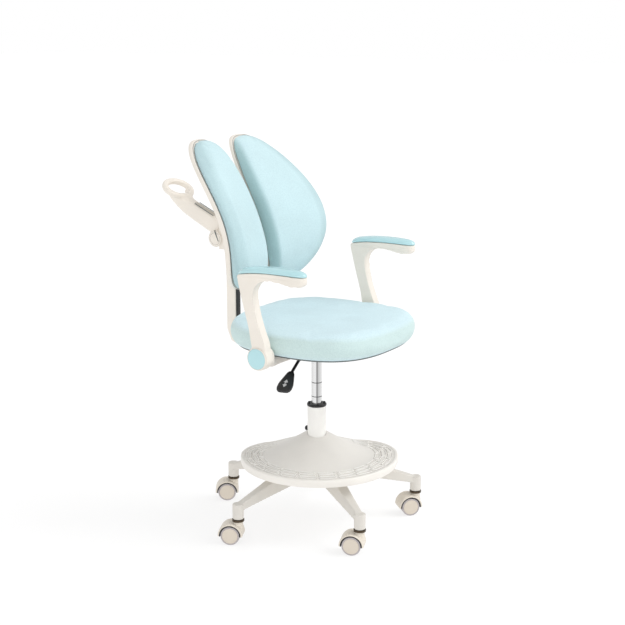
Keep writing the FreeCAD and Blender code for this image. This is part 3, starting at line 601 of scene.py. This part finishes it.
def make_seat():
    low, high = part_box("seat_cushion")
    centre, half = (low + high) / 2, (high - low) / 2
    edge, power = 0.023, 2.75
    rings = []
    profile = [(inset, low.z + rise)
        for inset, rise in mm((50, 0), (22, 0), (13, 3), (6, 10), (2, 20), (0, 33))]
    for step in range(7):
        angle = math.radians(15 * step)
        profile.append((0.001 + edge * (1 - math.cos(angle)), high.z - edge * (1 - math.sin(angle))))
    profile += [(inset, high.z) for inset in (0.05, 0.08, 0.11, 0.14, 0.17, 0.2)]
    for inset, z in profile:
        ring = oval(Vector((0, centre.y, z)), X * (half.x - inset), Y * (half.y - inset), power, 120)
        weight = max(0.0, (z - low.z - 0.03) / (high.z - low.z - 0.03))
        for point in ring:
            point.z += seat_top(point.x, point.y - centre.y) * weight
        rings.append(ring)
    cushion = loft("seat_cushion_cover", rings)
    inflate(cushion, 0.005, 2.0, 0.003, lambda point: point.z < low.z + 0.004, 7)
    dress(cushion, "seat", "blue_fabric", "seat_fabric", "seat_cushion")
    drawn_in = 0.02
    path = oval(Vector((0, centre.y, low.z - 0.0005)), X * (half.x - drawn_in), Y * (half.y - drawn_in),
        power, 160)
    welt = tube("seat_welt", path, 0.0015, closed=True)
    dress(welt, "seat", "black_plastic", "dark")
    keep_node("seat_pan", "black", 0.002)
    keep_node("seat_mechanism", "black", 0.0015)
    keep_node("seat_bolts", "steel")


# ---- back

BACK_SPINE = ((0.182, 0.628), (0.155, 0.73), (0.209, 0.85), (0.32, 1.024))
BACK_INNER, BACK_MIDDLE, BACK_OUTER = 0.015, 0.095, 0.221
BACK_BOTTOM, BACK_WIDEST, BACK_TOP = 0.64, 0.808, 1.022
BACK_WRAP_EDGE, BACK_WRAP_MIDDLE = 0.08, 0.255


def spine_depth(z):
    """How far back the back's seam line is at height z, on its Bezier side view."""
    low, high = 0.0, 1.0
    for _ in range(24):
        t = (low + high) / 2
        weights = ((1 - t) ** 3, 3 * t * (1 - t) ** 2, 3 * t * t * (1 - t), t ** 3)
        if sum(w * point[1] for w, point in zip(weights, BACK_SPINE)) < z:
            low = t
        else:
            high = t
    return sum(w * point[0] for w, point in zip(weights, BACK_SPINE))


def seam_point(x, z, depth=0.0):
    """A point at a depth behind the seam surface, on the sitter's left half."""
    share = (z - BACK_BOTTOM) / (BACK_TOP - BACK_BOTTOM)
    wrap = BACK_WRAP_EDGE + BACK_WRAP_MIDDLE * math.sin(math.pi * min(max(share, 0), 1))
    return Vector((x, spine_depth(z) - wrap * x + depth, z))


def back_outline(inner_inset, outer_inset, shrink=1.0, count=144):
    """(x, z) points round one back half: egg-shaped outside, nearly straight inside."""
    points = []
    for c, s in circle(count):
        outside, above = c > 0, s > 0
        if outside:
            reach = BACK_OUTER - BACK_MIDDLE - outer_inset
        else:
            reach = BACK_MIDDLE - BACK_INNER - inner_inset
        rise = BACK_TOP - BACK_WIDEST if above else BACK_WIDEST - BACK_BOTTOM
        power = 2.05 if outside else (3.4 if above else 4.5)
        along, over = squared(c, power) * reach, squared(s, power) * (rise - outer_inset)
        points.append((BACK_MIDDLE + along * shrink, BACK_WIDEST + over * shrink))
    return points


def back_rings(steps):
    """Rings of one back half; each step is (inner inset, outer inset, inner depth, outer depth).

    The last step is repeated on a smaller and smaller outline, so that the face follows the spine.
    """
    rings = []
    steps = [(*step, 1.0) for step in steps]
    steps += [(*steps[-1][:4], shrink) for shrink in (0.84, 0.68, 0.52, 0.36, 0.2, 0.06)]
    for inner_inset, outer_inset, inner_depth, outer_depth, shrink in steps:
        ring = []
        for x, z in back_outline(inner_inset, outer_inset, shrink):
            share = min(max((x - BACK_INNER) / (BACK_OUTER - BACK_INNER), 0), 1)
            blend = share ** 1.3
            ring.append(seam_point(x, z, inner_depth * (1 - blend) + outer_depth * blend))
        rings.append(ring)
    return rings


def make_back_half():
    """Pad, seam and shell for the sitter's left; the right half mirrors them."""
    pad_steps = mm((12, 12, 0, 0), (3, 3, -0.3, -0.3), (-0.5, -0.5, -3, -3), (0, -0.5, -11, -8),
        (2, 0.8, -19, -13), (5, 4, -26, -17), (9, 10, -31.5, -19.5), (13, 22, -35, -24.5),
        (18, 34, -36.8, -30), (26, 45, -37.2, -35.2), (32, 49, -37.3, -36.8), (46, 64, -37.3, -37.2))
    pad = loft("back_pad_cover_left", back_rings(pad_steps))
    inflate(pad, 0.0045, 2.5, 0.003, lambda point: point.y > seam_point(point.x, point.z).y - 0.002, 3)
    shell_steps = mm((6, 6, 0.3, 0.3), (-1.2, -1.6, -0.6, -0.6), (-2, -2.5, 1, 1), (-1.6, -2.4, 8, 10),
        (1, -1, 12, 15), (6, 4, 13.5, 17), (16, 14, 13.5, 17.2), (30, 30, 13.5, 16.5), (50, 60, 13.5, 15))
    shell = loft("back_shell_moulding_left", back_rings(shell_steps))
    seam_path = [seam_point(x, z, -0.0011) for x, z in back_outline(-0.0007, -0.0008)]
    seam = tube("back_seam_left", seam_path, 0.0007, closed=True, up=Y)
    pivot = Vector(JOINTS["back_left_swing"]["pos_m"])
    barrel_low, barrel_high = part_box("back_hinge_pins")
    pin_end = 0.0085
    low_z, high_z = barrel_low.z + pin_end, barrel_high.z - pin_end
    barrel = ring_band("hinge_barrel", 0.00406, 0.009, low_z, high_z, (pivot.x, pivot.y, 0), rounding=0.001)
    face_y = seam_point(pivot.x, pivot.z, 0.011).y
    web = []
    for y, half, reach in ((face_y - 0.002, 0.012, 0.004), (face_y + 0.004, 0.008, 0.001),
            (pivot.y - 0.006, 0.006, 0)):
        rise = (high_z - low_z) / 2 - 0.001 + reach
        web.append(oval(Vector((pivot.x, y, (low_z + high_z) / 2)), X * half, Z * rise, 6, 32))
    web = loft("hinge_web", web)
    hinge = joined("back_hinge_left", [barrel, web])
    for made in dress_both(pad, "back_left", "blue_fabric", "back_fabric", "back_pad"):
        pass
    dress_both(shell, "back_left", "white_plastic", "cream", "back_shell")
    dress_both(seam, "back_left", "black_plastic", "seam")
    crisp(*dress_both(hinge, "back_left", "white_plastic", "cream"))


def make_carrier():
    keep_node("back_carrier", "cream", 0.003)
    keep_node("back_upright", "cream", 0.004)
    keep_node("upright_trim", "black", 0.0006)
    keep_node("back_hinge_pins", "steel")
    hub_y, hub_z, reach = 0.311, 0.75, 0.032
    for side, sign in SIDES:
        profile = mm((0, 0), (21, 0), (21.5, 1), (21.5, 2.2), (17.5, 2.4), (17, 1.6), (16.5, 2.4), (12, 3.6),
            (4, 4))
        place = (sign * reach, hub_y, hub_z)
        cap = lathe(f"hub_cap_{side}", profile, place, (sign, 0, 0))
        dress(cap, "back", "white_plastic", "cream")
        # Painted shadow in each hub cap: a dark ring in the cap's groove and a dark crescent in the slit
        # between the cap and the carrier.
        shadow_ring = ring_band(f"hub_groove_{side}", 0.016, 0.0174, 0.0012, 0.002, place, (sign, 0, 0),
            0.0001)
        dress(shadow_ring, "back", "black_plastic", "dark")
        slit_middle = Vector((sign * (reach + 0.003), hub_y - 0.0065, hub_z + 0.0085))
        length, width = Vector((0, 0.0066, 0.015)), Vector((0, -0.0014, 0.0006))
        ends = [oval(slit_middle + X * (sign * lift), length, width) for lift in (-0.002, 0.0012)]
        slit = loft(f"hub_slit_{side}", ends)
        dress(slit, "back", "black_plastic", "dark")


# Side view of the rear handle's shank: (y, z) of its upper line, (y, z) of its lower line, half its width.
SHANK_STATIONS = mm((303, 795, 323, 750, 16), (345, 813.5, 365, 770, 16), (390, 834, 410, 792, 16.5),
    (418, 848, 438, 808, 19.5), (429, 856, 451, 822, 27), (440, 863, 466, 842, 35), (452, 870, 480, 860, 39))


def shank_ring(upper_y, upper_z, lower_y, lower_z, half_width):
    upper, lower = Vector((0, upper_y, upper_z)), Vector((0, lower_y, lower_z))
    return oval((upper + lower) / 2, X * half_width, (upper - lower) / 2, 3.2, 40)


def along_shank(share, drop, half_width, half_height):
    """A ring across the shank at a share of its straight run, its middle a drop below the upper line."""
    start, finish = (Vector((0, *SHANK_STATIONS[station][:2])) for station in (0, 2))
    slope = (finish - start).normalized()
    lift = Vector((0, -slope.z, slope.y))
    middle = start.lerp(finish, share) - lift * drop
    return oval(middle, X * half_width, lift * half_height, 5, 24)


def make_handle():
    """Deep shank that climbs rearwards from the hub and spreads into a flat loop."""
    centre, tilt = Vector((0, 0.464, 0.872)), math.radians(34)
    flat, ahead = Vector((0, -math.sin(tilt), math.cos(tilt))), Vector((0, math.cos(tilt), math.sin(tilt)))
    loop_width, loop_length, bar_width, bar_height = 0.0447, 0.0335, 0.0088, 0.0082
    rings = []
    for c, s in circle(72):
        middle = centre + X * (c * loop_width) + ahead * (s * loop_length)
        rings.append(oval(middle, (X * c + ahead * s) * bar_width, flat * bar_height, 2.6, 20))
    loop = loft("loop", rings + rings[:1], caps=False)
    weld(loop)
    shank = loft("shank", [shank_ring(*station) for station in SHANK_STATIONS])
    eye = loft("eye", [oval(centre + flat * reach, X * 0.036, ahead * 0.025) for reach in (-0.06, 0.06)])
    recess = loft("recess", [along_shank(share, -0.004, width, 0.011)
        for share, width in ((0.3, 0.0105), (0.36, 0.012), (1.16, 0.0118), (1.26, 0.0095))])
    piece = moulded("rear_handle_moulding", [loop, shank], 0.0018, 4, [eye, recess])
    dress(piece, "back", "white_plastic", "cream", "rear_handle")
    # Painted shade: a grey strip along the top of the shank for the shaded channel, and two thin dark lines
    # beside it for the shade at the channel's edges.
    channel_shade = loft("rear_handle_channel_shade", [along_shank(share, 0.0022, width, height)
        for share, width, height in ((0.345, 0.007, 0.002), (0.36, 0.009, 0.003), (1.05, 0.0085, 0.003),
        (1.4, 0.002, 0.001))])
    dress(channel_shade, "back", "white_plastic", "shade_grey")
    for sign in (-1, 1):
        edge = [along_shank(0.36 + 0.08 * step, -0.0002, 0, 0)[0] + X * (sign * 0.0112)
            for step in range(10)]
        line = tube(f"rear_handle_line_{sign}", edge, 0.001)
        dress(line, "back", "black_plastic", "dark")


# ---- arms

# Side view of an arm as (y, z) from its pivot, in millimetres: up the back, over the top, round the tip.
ARM_OUTLINE = ((-2, 0), (17, 24), (27, 72), (37, 107), (46, 138), (55, 172), (61, 200), (58, 208), (30, 213),
    (0, 216), (-40, 218), (-80, 218), (-104, 217), (-118, 213), (-124, 208), (-124, 202), (-119, 197),
    (-110, 194.5), (-98, 195), (-71, 200), (-42, 203), (-22, 201), (-6, 195), (6, 184), (13, 168), (12, 142),
    (4, 108), (-10, 68), (-24, 32), (-22, -2))
PAD_REAR, PAD_FRONT = 0.06, -0.139


def arm_top(y):
    """Height of an arm's arched top line above its pivot, at a distance y behind it."""
    crest, rear_bend, rear_curl, front_bend = 0.2222, 0.8, 0.003, 0.75
    rear = rear_bend * max(0.0, y + 0.06) ** 2 + rear_curl * max(0.0, y / 0.06) ** 3
    return crest - rear - front_bend * min(0.0, y + 0.075) ** 2


def pad_rings(pivot, steps):
    """Rings of an armrest's plan shape: a step is (inset, height over the arm's top line, half width)."""
    middle, reach = (PAD_REAR + PAD_FRONT) / 2, (PAD_REAR - PAD_FRONT) / 2
    rings = []
    for inset, height, half_width in steps:
        ring = oval(Vector((pivot.x, pivot.y + middle, 0)), X * (half_width - inset), Y * (reach - inset),
            2.5, 96)
        for point in ring:
            point.z = pivot.z + arm_top(point.y - pivot.y) + height
        rings.append(ring)
    return rings


def make_arms():
    """Arms are made on the sitter's left and mirrored to the right."""
    pivot = Vector(JOINTS["arm_left_flip"]["pos_m"])
    outline = [point * MM + Vector((pivot.y, pivot.z)) for point in smooth_outline(ARM_OUTLINE)]
    inner_x, outer_x = (corner.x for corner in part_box("arm_frame_left"))
    blade = slab("blade", outline, inner_x + 0.001, outer_x - 0.001, 0.003)
    boss = lathe("boss", mm((30, 0), (31, 1), (31, 27), (30, 28)), (inner_x, pivot.y, pivot.z), X)
    tray_steps = mm((10, -16, 18), (4, -13, 21.5), (1, -8, 24.5), (0, -3, 25.2), (0.8, -0.4, 25.2))
    tray = loft("tray", pad_rings(pivot, tray_steps))
    nose = []
    for y, half_width, lowest in mm((-95, 12, 196), (-108, 15, 193.5), (-120, 16.5, 193), (-129, 15.5, 195),
            (-134.5, 12.5, 198.5), (-137.5, 8, 202.5), (-138.5, 3, 206)):
        highest = arm_top(y) - 0.004
        middle = pivot + Vector((0, y, (lowest + highest) / 2))
        nose.append(oval(middle, X * half_width, Z * ((highest - lowest) / 2), 2.6, 40))
    arm = moulded("arm_moulding_left", [blade, boss, tray, loft("nose", nose)], 0.0021, 9)
    pad_steps = mm((3, 0, 25), (1, 0.6, 25), (0, 2.6, 25), (0.6, 5, 25), (2.8, 7.8, 25), (6.2, 10, 25),
        (11, 11.8, 25), (17, 12.9, 25), (23, 13.3, 25))
    pad = loft("arm_pad_moulding_left", pad_rings(pivot, pad_steps))
    cap_profile = mm((25, 0), (26.2, 0), (26.4, 0.6), (26.4, 2.6), (25.8, 3.2), (23, 3.8), (18, 4.3),
        (10, 4.7), (3, 4.9))
    hub = (outer_x, pivot.y, pivot.z)
    cap = lathe("arm_cap_moulding_left", cap_profile, hub, X, count=96)
    dress_both(arm, "arm_left", "white_plastic", "cream", "arm_frame")
    for made in dress_both(pad, "arm_left", "blue_plastic", "blue_plastic", "arm_pad"):
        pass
    dress_both(cap, "arm_left", "blue_plastic", "blue_plastic", "arm_cap")
    rim = ring_band("arm_cap_rim_left", 0.0266, 0.0285, 0, 0.0026, hub, X, 0.0008, 96)
    groove = ring_band("arm_cap_groove_left", 0.0255, 0.027, 0, 0.0016, hub, X, 0.0002, 96)
    crisp(*dress_both(rim, "arm_left", "white_plastic", "cream"))
    crisp(*dress_both(groove, "arm_left", "black_plastic", "dark"))
    make_brackets(pivot, inner_x)
    for side, _ in SIDES:
        keep_node(f"arm_pin_{side}", "steel")


def make_brackets(pivot, inner_x):
    """The cast arm that runs from under the seat out to each arm's pivot."""
    start, housing_z, pan_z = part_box("arm_bracket_left")[0].x, 0.473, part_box("seat_pan")[0].z
    end = inner_x - 0.0004
    middle_y, middle_z, half_z = 0.013, (housing_z + pan_z) / 2, (pan_z - housing_z) / 2
    sections = ((start, middle_y, middle_z, 0.013, half_z, 6), (0.175, middle_y, middle_z, 0.013, half_z, 5),
        (0.205, 0.01, middle_z + 0.004, 0.018, 0.016, 3), (0.228, 0.002, middle_z + 0.018, 0.0245, 0.0235,
        2.2), (0.243, pivot.y, pivot.z, 0.0275, 0.0275, 2), (end - 0.0008, pivot.y, pivot.z, 0.028, 0.028,
        2), (end, pivot.y, pivot.z, 0.0272, 0.0272, 2))
    rings = [oval(Vector((x, y, z)), Y * reach, Z * rise, power) for x, y, z, reach, rise, power in sections]
    bracket = loft("arm_bracket_casting_left", rings)
    crisp(*dress_both(bracket, "seat", "white_plastic", "cream", "arm_bracket"), angle=50)


# ---- lever


def make_lever():
    keep_node("lever_rod", "black_metal")
    turn = math.radians(13)
    out = Vector((-math.cos(turn), -math.sin(turn), 0))
    across = Vector((math.sin(turn), -math.cos(turn), 0))
    neck = out * 0.189 + Z * 0.4572
    along = out * 0.058 - Z * 0.032
    up = along.cross(across).normalized()
    sections = [oval(neck + along * share, across * half_width, up * half_depth, 3.6, 40)
        for share, half_width, half_depth in ((-0.07, 0.007, 0.0042), (0.0, 0.0095, 0.0052),
        (0.1, 0.0115, 0.0056), (0.35, 0.016, 0.0058), (0.6, 0.02, 0.0058), (0.8, 0.0203, 0.0056),
        (0.92, 0.018, 0.0052), (0.985, 0.014, 0.004), (1.0, 0.011, 0.003))]
    paddle = loft("paddle_moulding", sections)
    crisp(dress(paddle, "lever", "black_plastic", "black", "lever_paddle"), angle=60)
    face = neck + along * 0.62 + up * 0.0058
    ahead = along.normalized()
    marks = []
    for sign in (-1, 1):
        tip, root = face + ahead * (sign * 0.0135), face + ahead * (sign * 0.004)
        tail = face + ahead * (sign * 0.001)
        wing, stroke = across * 0.006, across * 0.0022
        arrow = [tip, root + wing, root + stroke, tail + stroke, tail - stroke, root - stroke, root - wing]
        if sign < 0:
            arrow.reverse()
        marks.append(loft(f"arrow_{sign}", [[point + up * lift for point in arrow]
            for lift in (-0.0006, 0.00035)]))
    crisp(dress(joined("paddle_mark", marks), "lever", "white_plastic", "mark"))


# ---- gas lift


def make_gas_lift():
    keep_node("lift_column", "bright_white", 0.0008)
    for node in ("thrust_bearing", "piston_rod", "rod_clip", "valve_button"):
        keep_node(node, "steel")
    keep_node("gas_cylinder", "tube_chrome")
    for index, z in enumerate((0.385, 0.346), start=1):
        band = ring_band(f"cylinder_band_{index}", 0.0135, 0.01425, z - MM, z + MM, rounding=0.0002)
        dress(band, "seat", "black_metal", "black_metal")
    low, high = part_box("guide_bush")
    flange, bore = high.z - 0.007, 0.0143
    bush = [(bore, low.z), (0.0219, low.z), (0.0219, flange)]
    bush += [(radius, flange + rise)
        for radius, rise in mm((24.5, 0), (26.2, 0.8), (26.5, 2), (26.5, 5.2), (25.5, 6.5), (23.5, 7),
        (15.3, 7), (14.3, 6))]
    parts = [spun("bush_ring", bush)]
    for sign in (-1, 1):
        out = Vector((0.5498, -0.8353, 0)) * sign
        across, middle = Vector((-out.y, out.x, 0)), Z * (flange + 0.0082)
        rings = [oval(middle + out * reach, across * half, Z * half, count=20)
            for reach, half in mm((16.8, 1.2), (17.2, 2.8), (18.2, 3.6), (22.2, 3.6), (23.2, 2.8),
            (23.6, 1.2))]
        parts.append(loft("lug", rings))
    crisp(dress(joined("guide_bush_collar", parts), "base", "black_plastic", "black", "guide_bush"))


# ---- footrest

PLATE_HEADING = math.radians(-53)
PLATE_RADIUS, PLATE_DEPTH, PLATE_SHIFT = 0.214, 0.11, 0.007
PLATE_POINTS, TREAD_STEP = 240, 0.0014
BELL_BACK, BELL_FOOT, BELL_TOP, BELL_RISE = 0.01, 0.155, 0.032, 0.056


def plate_edge(inset, share):
    """Plan point at a share of the way round the plate's outline, drawn in by inset."""
    radius, depth = PLATE_RADIUS - inset, PLATE_DEPTH - inset
    corner_x = PLATE_RADIUS - PLATE_DEPTH
    front, corner, straight = math.pi * radius, math.pi / 2 * depth, 2 * corner_x
    s = share % 1 * (front + 2 * corner + straight)
    if s < front:
        angle = math.pi + s / radius
        return Vector((radius * math.cos(angle), radius * math.sin(angle), 0))
    s -= front
    if s < corner:
        angle = s / depth
        return Vector((corner_x + depth * math.cos(angle), depth * math.sin(angle), 0))
    s -= corner
    if s < straight:
        return Vector((corner_x - s, depth, 0))
    angle = math.pi / 2 + (s - straight) / depth
    return Vector((-corner_x + depth * math.cos(angle), depth * math.sin(angle), 0))


def bell_height(plan):
    """How far the plate's top rises above its flat ring at a plan point."""
    reach = math.hypot(plan.x + PLATE_SHIFT, plan.y - BELL_BACK)
    share = max(0.0, BELL_FOOT - reach) / (BELL_FOOT - BELL_TOP)
    return BELL_RISE * share ** 1.4


def on_plate(plan, height, on_bell=True):
    """Where a point of the plate's own plan, whose front is -Y, lies on the chair, on the bell or not."""
    c, s = math.cos(PLATE_HEADING), math.sin(PLATE_HEADING)
    x, y = plan.x + PLATE_SHIFT, plan.y
    return Vector((x * c - y * s, x * s + y * c, height + (bell_height(plan) if on_bell else 0)))


def plate_ring(inset, height, on_bell):
    """The plate's outline drawn in by inset, at a height, or at that height over the bell."""
    return [on_plate(plate_edge(inset, index / PLATE_POINTS), height, on_bell)
        for index in range(PLATE_POINTS)]


def make_footrest():
    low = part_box("footrest_plate")[0]
    top, bore, sleeve, sleeve_foot = 0.183, 0.0256, 0.03, 0.1665
    under, tread_edge = top - 0.0045, 0.064
    rings = [plate_ring(0.02, under, True), plate_ring(0.0048, under, True)]
    rings += [plate_ring(inset, low.z + rise, False)
        for inset, rise in mm((4.2, 1), (3, 0), (1.5, 0.4), (0, 5))]
    rings += [plate_ring(inset, top - drop, True)
        for inset, drop in mm((0, 5), (0.6, 1.5), (2.4, 0), (6, -0.2), (8.5, 0), (9.5, 1.2), (12, 1.4),
        (22, 1.4), (36, 1.4), (50, 1.4), (64, 1.4))]
    plan_inner = [plate_edge(tread_edge, index / PLATE_POINTS) for index in range(PLATE_POINTS)]
    bell_steps = 14
    for step in range(1, bell_steps + 1):
        share = step / bell_steps
        ring = []
        for plan in plan_inner:
            from_column = Vector((plan.x + PLATE_SHIFT, plan.y, 0))
            rim = from_column.normalized() * (bore + MM)
            spot = from_column.lerp(rim, share)
            local = Vector((spot.x - PLATE_SHIFT, spot.y, 0))
            ring.append(on_plate(local, top - TREAD_STEP * (1 - share)))
        rings.append(ring)
    rim_ring = [(Vector((point.x, point.y, 0)).normalized(), point.z) for point in rings[-1]]
    rings.append([out * bore + Z * (z - 0.0015) for out, z in rim_ring])
    for radius, z in ((bore, sleeve_foot), (sleeve, sleeve_foot), (sleeve, under)):
        rings.append([out * radius + Z * z for out, _ in rim_ring])
    plate = loft("footrest_moulding", rings + rings[:1], caps=False)
    weld(plate)
    crisp(dress(plate, "footrest", "white_plastic", "white", "footrest_plate"), angle=55)
    make_tread_ribs(top)
    make_lock_knob()


def make_tread_ribs(top):
    """Rows of raised brick outlines that follow the plate's edge, each row shifted by half a brick."""
    outline_length = math.pi * (PLATE_RADIUS + PLATE_DEPTH) + 2 * (PLATE_RADIUS - PLATE_DEPTH)
    ribs, rib_shade_strips = [], []
    for row, inset in enumerate((0.021, 0.038, 0.055)):
        row_length = outline_length - FULL_TURN * inset
        bricks = round(row_length / 0.052)
        for brick in range(bricks):
            centre_share = (brick + 0.5 * (row % 2)) / bricks
            middle = plate_edge(inset, centre_share)
            if math.hypot(middle.x + PLATE_SHIFT, middle.y - BELL_BACK) < 0.128:
                continue
            path = [on_plate(plate_edge(inset + y, centre_share + x / bricks), top - TREAD_STEP)
                for x, y in rounded_loop(0.41, 0.0056, 0.0028, row_length / bricks)]
            # each rib sits on a wider, flatter strip painted darker as its shadow
            ribs.append(tube("rib", path, 0.0012, True, 8, 1.6))
            rib_shade_strips.append(tube("groove", path, 0.0024, True, 8, 0.18))
    # the ribs are painted brighter than the plate as a painted highlight, the strips under them darker as
    # painted shadow
    dress(joined("footrest_ribs", ribs), "footrest", "white_plastic", "bright_white")
    dress(joined("footrest_rib_shadows", rib_shade_strips), "footrest", "white_plastic", "groove")


def rounded_loop(half_share, half_width, corner, pitch):
    """Points of a rounded rectangle: along the row as a share of a brick's pitch, across it in metres."""
    half_length = half_share * pitch
    points = []
    for start, cx, cy in ((0, 1, 1), (90, -1, 1), (180, -1, -1), (270, 1, -1)):
        for step in range(4):
            angle = math.radians(start + 30 * step)
            x = cx * (half_length - corner) + corner * math.cos(angle)
            y = cy * (half_width - corner) + corner * math.sin(angle)
            points.append((x / pitch, y))
        if start in (0, 180):
            points += [(cx * (half_length - corner) * (1 - step / 3) / pitch, cy * half_width)
                for step in range(1, 6)]
    return points


def make_lock_knob():
    axis = Vector(JOINTS["footrest_lock_turn"]["axis"]).normalized()
    height = Z * JOINTS["footrest_lock_turn"]["pos_m"][2]
    profile = mm((2.6, 25.5), (3, 26), (3, 33.2), (5.5, 33.4), (6.5, 34), (7, 35.2), (7, 42), (6.3, 43.8),
        (4.5, 44.4), (2, 44.4))
    turn = Z.rotation_difference(axis).to_matrix()
    rings, steps, ridges, ridge_height, grip_radius = [], 72, 12, 0.00035, 0.0064
    for radius, reach in profile:
        ring = []
        for index in range(steps):
            angle = FULL_TURN * index / steps
            out = radius + (ridge_height * math.cos(ridges * angle) if radius > grip_radius else 0)
            ring.append(height + turn @ Vector((math.cos(angle) * out, math.sin(angle) * out, reach)))
        rings.append(ring)
    knob = loft("footrest_knob_moulding", rings)
    crisp(dress(knob, "footrest_lock", "black_plastic", "black", "footrest_knob"))


# ---- star base and casters

CASTER_HEADINGS = (-68, -43, -50, -54, -64)
CASTER_TRAIL, WHEEL_RADIUS, WHEEL_INNER, WHEEL_WIDTH = 0.019, 0.025, 0.004, 0.019
AXLE = Vector((-CASTER_TRAIL, 0, WHEEL_RADIUS))
HOOD_RADIUS, HOOD_HALF_WIDTH, HOOD_SKIRT = 0.0325, 0.024, 0.023


def make_hood():
    """Hood of a caster at its own origin: a roof over both wheels, a web and the stem's boss."""
    edge, width = 0.002, 2 * HOOD_HALF_WIDTH
    profile = ((HOOD_RADIUS - edge, 0), (HOOD_RADIUS, edge), (HOOD_RADIUS, width - edge),
        (HOOD_RADIUS - edge, width))
    roof = lathe("roof", profile, AXLE - Y * HOOD_HALF_WIDTH, Y, 96)
    boss = lathe("boss", ((0.013, HOOD_SKIRT - 0.004), (0.013, 0.058), (0.0122, 0.0608)), count=48)
    sections = mm((-20, 40, 21, 14), (0, 40, 16.5, 16), (11.5, 38, 11, 14))
    shoulder = loft("shoulder", [oval(Vector((x, 0, z)), Y * half, Z * rise, 2.6, 32)
        for x, z, half, rise in sections])
    skirt = loft("skirt", [oval(Z * z, X * 0.08, Y * 0.08, count=16) for z in (-0.05, HOOD_SKIRT)])
    web_half, pocket = 0.0035, mm((28.5, 0), (28.5, 30))
    pockets = [lathe("pocket", pocket, AXLE + Y * (sign * web_half), (0, sign, 0), 96) for sign in (-1, 1)]
    hood = moulded("hood", [roof, boss, shoulder], 0.0012, 3, [skirt, *pockets])
    web_profile = mm((19.5, 0), (20, 0.4), (20, 6.6), (19.5, 7))
    web = lathe("web", web_profile, AXLE - Y * web_half, Y)
    return joined("hood_and_web", [hood, web])


def make_hood_shade():
    """Painted shade: a dark sheet between the hood's rim and each wheel, where shade falls in the gap."""
    parts, steps, inner, outer = [], 40, 0.0259, 0.0283
    near, far = WHEEL_INNER + 0.001, HOOD_HALF_WIDTH - 0.0015
    for sign in (-1, 1):
        corners = ((inner, near), (outer, near), (outer, far), (inner, far))[::sign]
        rings = []
        for index in range(steps + 1):
            angle = math.radians(-4 + 188 * index / steps)
            out = Vector((math.cos(angle), 0, math.sin(angle)))
            rings.append([AXLE + out * radius + Y * (sign * y) for radius, y in corners])
        parts.append(loft("hood_shade", rings, flat_ends=True))
    return joined("hood_shade", parts)


def make_wheel(sign):
    """Tyre and hub of one wheel at the caster's origin; the hub shows on its outer side."""
    centre = AXLE + Y * (sign * WHEEL_INNER)
    r, w = WHEEL_RADIUS, WHEEL_WIDTH
    section = ((0.021, 0.0006), (r - 0.0012, 0.0), (r - 0.0002, 0.001), (r, 0.0024), (r, w - 0.0026),
        (r - 0.0006, w - 0.0012), (r - 0.002, w - 0.0002), (r - 0.0032, w - 0.0002), (r - 0.0036, w - 0.001),
        (0.0208, w - 0.0012))
    tyre = spun("tyre", section, centre, (0, sign, 0))
    hub = lathe("hub", ((0.004, 0.001), (0.0208, 0.001), (0.0209, w - 0.002), (0.0206, w - 0.0008),
        (0.019, w - 0.0002), (0.012, w + 0.0003), (0.004, w + 0.0005), (0.001, w + 0.0005)), centre,
        (0, sign, 0), count=72)
    return tyre, hub


def make_casters():
    hood, hood_shade = make_hood(), make_hood_shade()
    wheels = {"a": make_wheel(-1), "b": make_wheel(1)}
    for index, heading in enumerate(CASTER_HEADINGS, start=1):
        stem = Vector(JOINTS[f"caster_{index}_swivel"]["pos_m"])
        put = Matrix.Translation((stem.x, stem.y, 0)) @ Matrix.Rotation(math.radians(heading), 4, "Z")
        body = f"caster_{index}"
        cover = dress(moved_copy(f"{body}_hood_moulding", hood, put), body, "beige_plastic", "beige",
            f"{body}_hood")
        crisp(cover, angle=50)
        # the dark sheet inside each hood is painted shade
        crisp(dress(moved_copy(f"{body}_hood_lining", hood_shade, put), body, "black_plastic", "black"))
        for letter, (tyre, hub) in wheels.items():
            rolling = f"wheel_{index}_{letter}"
            tread, disc = moved_copy(f"{rolling}_tyre", tyre, put), moved_copy(f"{rolling}_hub", hub, put)
            crisp(dress(tread, rolling, "wheel_plastic", "tyre", f"{body}_wheel_{letter}"), angle=50)
            crisp(dress(disc, rolling, "beige_plastic", "hub"), angle=40)
        keep_node(f"{body}_stem", "bronze", 0.0008)
        keep_node(f"{body}_axle", "steel")
    for part in (hood, hood_shade, *wheels["a"], *wheels["b"]):
        bpy.data.objects.remove(part)


def make_base():
    copy = moved_copy("star_base_copy", NODES["star_base"], NODES["star_base"].matrix_world)
    base = moulded("star_base_moulding", [copy], 0.0022, 7)
    # the base's white plastic is painted darker than the rest as shade
    dress(base, "base", "white_plastic", "leg_white", "star_base")


make_camera()
make_studio()
make_floor()
make_seat()
make_back_half()
make_carrier()
make_handle()
make_arms()
make_lever()
make_gas_lift()
make_footrest()
make_base()
make_casters()
